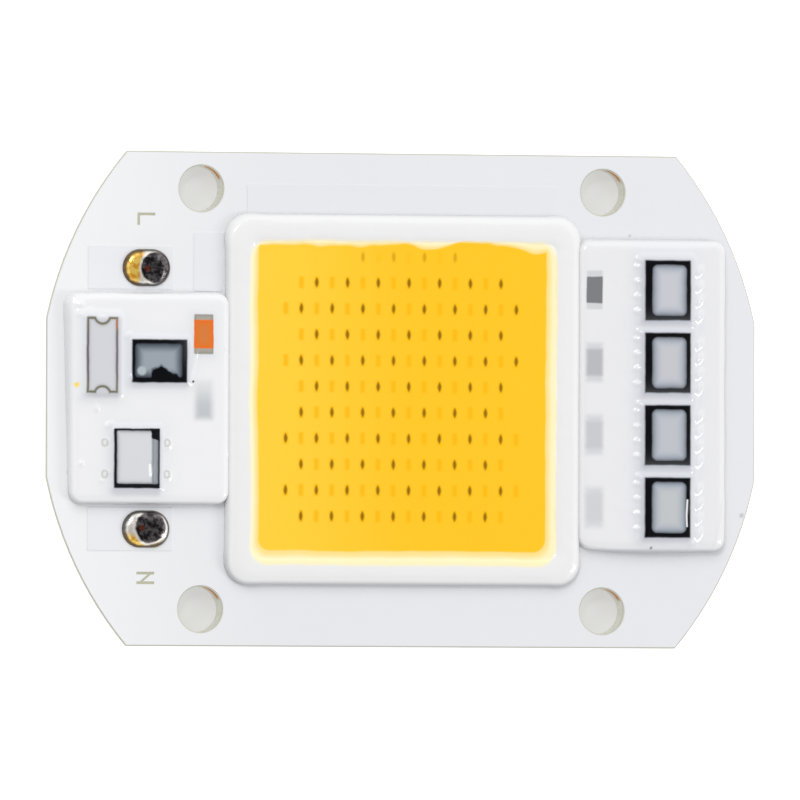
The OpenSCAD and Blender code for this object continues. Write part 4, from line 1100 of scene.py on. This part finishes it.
def solder_dome(name, dark_reflection, flux_side, amber_start):
    """A solder pad with a painted dark reflection, given as x, y and radius in mm, and flux towards one
    side in degrees.

    The amber start is how far from the pad's middle the flux starts, in mm.
    """
    middle, half, top = footprint(name)
    crown = top - mask_top
    seed = middle.y * 400
    reflection_x, reflection_y, reflection_r = middle.x + dark_reflection[0] * MM, middle.y + dark_reflection[1] * MM, dark_reflection[2] * MM

    def dome_height(x, y):
        inset = -distance_to(x, y, middle, half, half.y)
        slope = np.clip(inset / half.y, 0, 1)
        ball = np.sqrt(1 - (1 - slope) ** 2)
        swell = 0.05 * MM * slow_ripple(x, y, 2.6 * MM, seed) * slope
        return mask_top + crown * 0.93 * (0.1 + 0.9 * ball) + swell

    finish, tree, shader, position = new_finish(name.replace("_", " "))
    shaken = unsteady(tree, position, 0.3 * MM, 1300)
    cloud = grain(tree, position, 2200, 4.0, 0.6)
    gold = mix(tree, fade(tree, cloud[0], 0.42, 0.6), paint(250, 212, 104), paint(222, 156, 44))
    bright = mix(tree, cloud[0], paint(196, 192, 186), paint(250, 247, 240))
    flux = line_distance(tree, shaken, middle.x, middle.y, flux_side)
    metal = tint(tree, bright, flux, amber_start - 0.3, amber_start + 0.3, gold)
    from_dark_reflection = disc(tree, shaken, reflection_x, reflection_y, reflection_r)
    # Painted highlight: a bright crescent of reflected light round the dark reflection
    metal = tint(tree, metal, from_dark_reflection, 0.3, 0.12, paint(252, 246, 238))
    # Painted reflection: the dark that the solder mirrors, as a dark disc
    dark = mix(tree, fade(tree, cloud[0], 0.4, 0.65), paint(50, 46, 50), paint(128, 122, 124))
    metal = tint(tree, metal, from_dark_reflection, 0.1, -0.04, dark)
    ember = disc(tree, shaken, reflection_x - reflection_r * 0.6, reflection_y - 0.05 * MM, 0.2 * MM)
    metal = tint(tree, metal, ember, 0.12, -0.1, paint(150, 66, 20), 0.8)
    # Painted shade and dark reflection: a dark band round the dome's edge
    rim = rectangle(tree, shaken, middle, half, half.y)
    metal = tint(tree, metal, rim, -0.34, -0.14, paint(54, 49, 44), 0.9)
    give(tree, shader, Base_Color=metal, Roughness=fade(tree, cloud[0], 0.3, 0.75, 0.08, 0.24),
         Metallic=fade(tree, from_dark_reflection, 0.2 * MM, 0.0, 0.35, 0.7))
    bump(tree, shader, cloud[0], 0.03 * MM)
    low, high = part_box(name)
    skin = poured_skin(low, high, half.y - 0.001 * MM, DOME_CELL, copper_top, dome_height)
    new_piece(name + "_dome", skin, finish, "solder", name)


solder_dome("live_pad_solder", (0.68, 0.0, 1.2), 170, 0.5)
solder_dome("neutral_pad_solder", (0.28, 0.12, 1.24), 255, 0.8)

# %% [markdown]
# ## Floor and light
# The board lies on a plain white floor. One soft light from beyond the far edge models the silicone, two
# small lamps put glints on its humps, and a white world fills the shadows, so that together a white of 235
# renders as about 235. The background's white comes from Is Camera Ray alone, and puts no light on the
# board. Little light gets down the screw holes, so the floor round them is painted darker and glows less,
# as shade. A dark card above the camera's place gives the solder something dark to mirror, as a camera
# does in a studio.

# %% Floor
def only_for(tree, *kinds):
    """One for the named kinds of ray, and zero for the rest."""
    path = tree.nodes.new("ShaderNodeLightPath")
    total = path.outputs[kinds[0]]
    for kind in kinds[1:]:
        total = larger(tree, total, path.outputs[kind])
    return total


SEEN = ("Is Camera Ray", "Is Glossy Ray", "Is Transmission Ray")
BOARD_HALF_Y = 18 * MM
BOARD_CORNER = 8 * MM
HOLE_SHADE_R = 2.5 * MM
GLOW_UNDER_BOARD, GLOW_BEYOND = 0.44, 0.53


def stage_piece(name, bm, material, place):
    mesh = bpy.data.meshes.new(name)
    bm.to_mesh(mesh)
    bm.free()
    mesh.materials.append(material)
    piece = bpy.data.objects.new(name, mesh)
    piece.location = place
    bpy.context.collection.objects.link(piece)
    return piece


floor_paint, tree, shader, position = new_finish("studio floor", Roughness=0.9, Emission_Color=(1, 1, 1, 1))
board_half_x = (board_high.x - board_low.x) / 2
beyond_board = rectangle(tree, position, board_middle, (board_half_x, BOARD_HALF_Y), BOARD_CORNER)
beside_hole = 1.0
for x, y in HOLES:
    beside_hole = smaller(tree, beside_hole, disc(tree, position, x, y, HOLE_SHADE_R))
# Painted shade: round each screw hole the floor glows less and is painted darker
painted_hole_shade = fade(tree, beside_hole, 0.0, 0.3 * MM, GLOW_UNDER_BOARD, 1.0)
glow = fade(tree, beyond_board, -1.0 * MM, 0.3 * MM, GLOW_UNDER_BOARD, GLOW_BEYOND)
glow = times(tree, only_for(tree, *SEEN), smaller(tree, glow, painted_hole_shade))
floor_color = tint(tree, paint(237, 237, 237), beside_hole, 0.3, 0.0, paint(152, 152, 150))
give(tree, shader, Base_Color=floor_color, Emission_Strength=glow)

bm = bmesh.new()
bmesh.ops.create_grid(bm, x_segments=1, y_segments=1, size=3.0)
stage_piece("studio_floor", bm, floor_paint, (0, 0, board_low.z - 0.01 * MM))

# %% World and lamps
world = bpy.data.worlds.new("studio")
world.use_nodes = True
bpy.context.scene.world = world
tree = world.node_tree
FILL = 0.67
seen_part = times(tree, only_for(tree, *SEEN), 1.0 - FILL)
give(tree, first_node(tree, "BACKGROUND"), Color=(1, 1, 1, 1), Strength=plus(tree, FILL, seen_part))


def soft_lamp(name, direction, distance, size, power):
    lamp = bpy.data.lights.new(name, "AREA")
    lamp.shape = "RECTANGLE"
    lamp.size, lamp.size_y = size
    lamp.energy = power
    holder = bpy.data.objects.new(name, lamp)
    away = Vector(direction).normalized()
    holder.location = board_middle + away * distance
    holder.rotation_euler = away.to_track_quat("Z", "Y").to_euler()
    holder.visible_camera = False
    bpy.context.collection.objects.link(holder)
    return holder


far_softbox = soft_lamp("far softbox", (-0.15, 0.8, 0.75), 1.0, (0.7, 0.5), 2.4)
far_softbox.visible_glossy = False
soft_lamp("left lamp", (-0.35, 0.45, 0.85), 0.9, (0.22, 0.12), 1.3)
soft_lamp("right lamp", (0.78, -0.25, 0.6), 0.9, (0.13, 0.3), 1.4)

# %% Dark card above the camera
bm = bmesh.new()
bmesh.ops.create_circle(bm, cap_ends=True, segments=48, radius=0.42)
card_paint = new_finish("dark card", Base_Color=(0.01, 0.01, 0.012, 1), Roughness=1.0)[0]
card = stage_piece("dark_card", bm, card_paint, (0.12, -0.05, 0.6))
card.visible_camera = False
card.visible_diffuse = False
card.visible_shadow = False
print("studio ready")
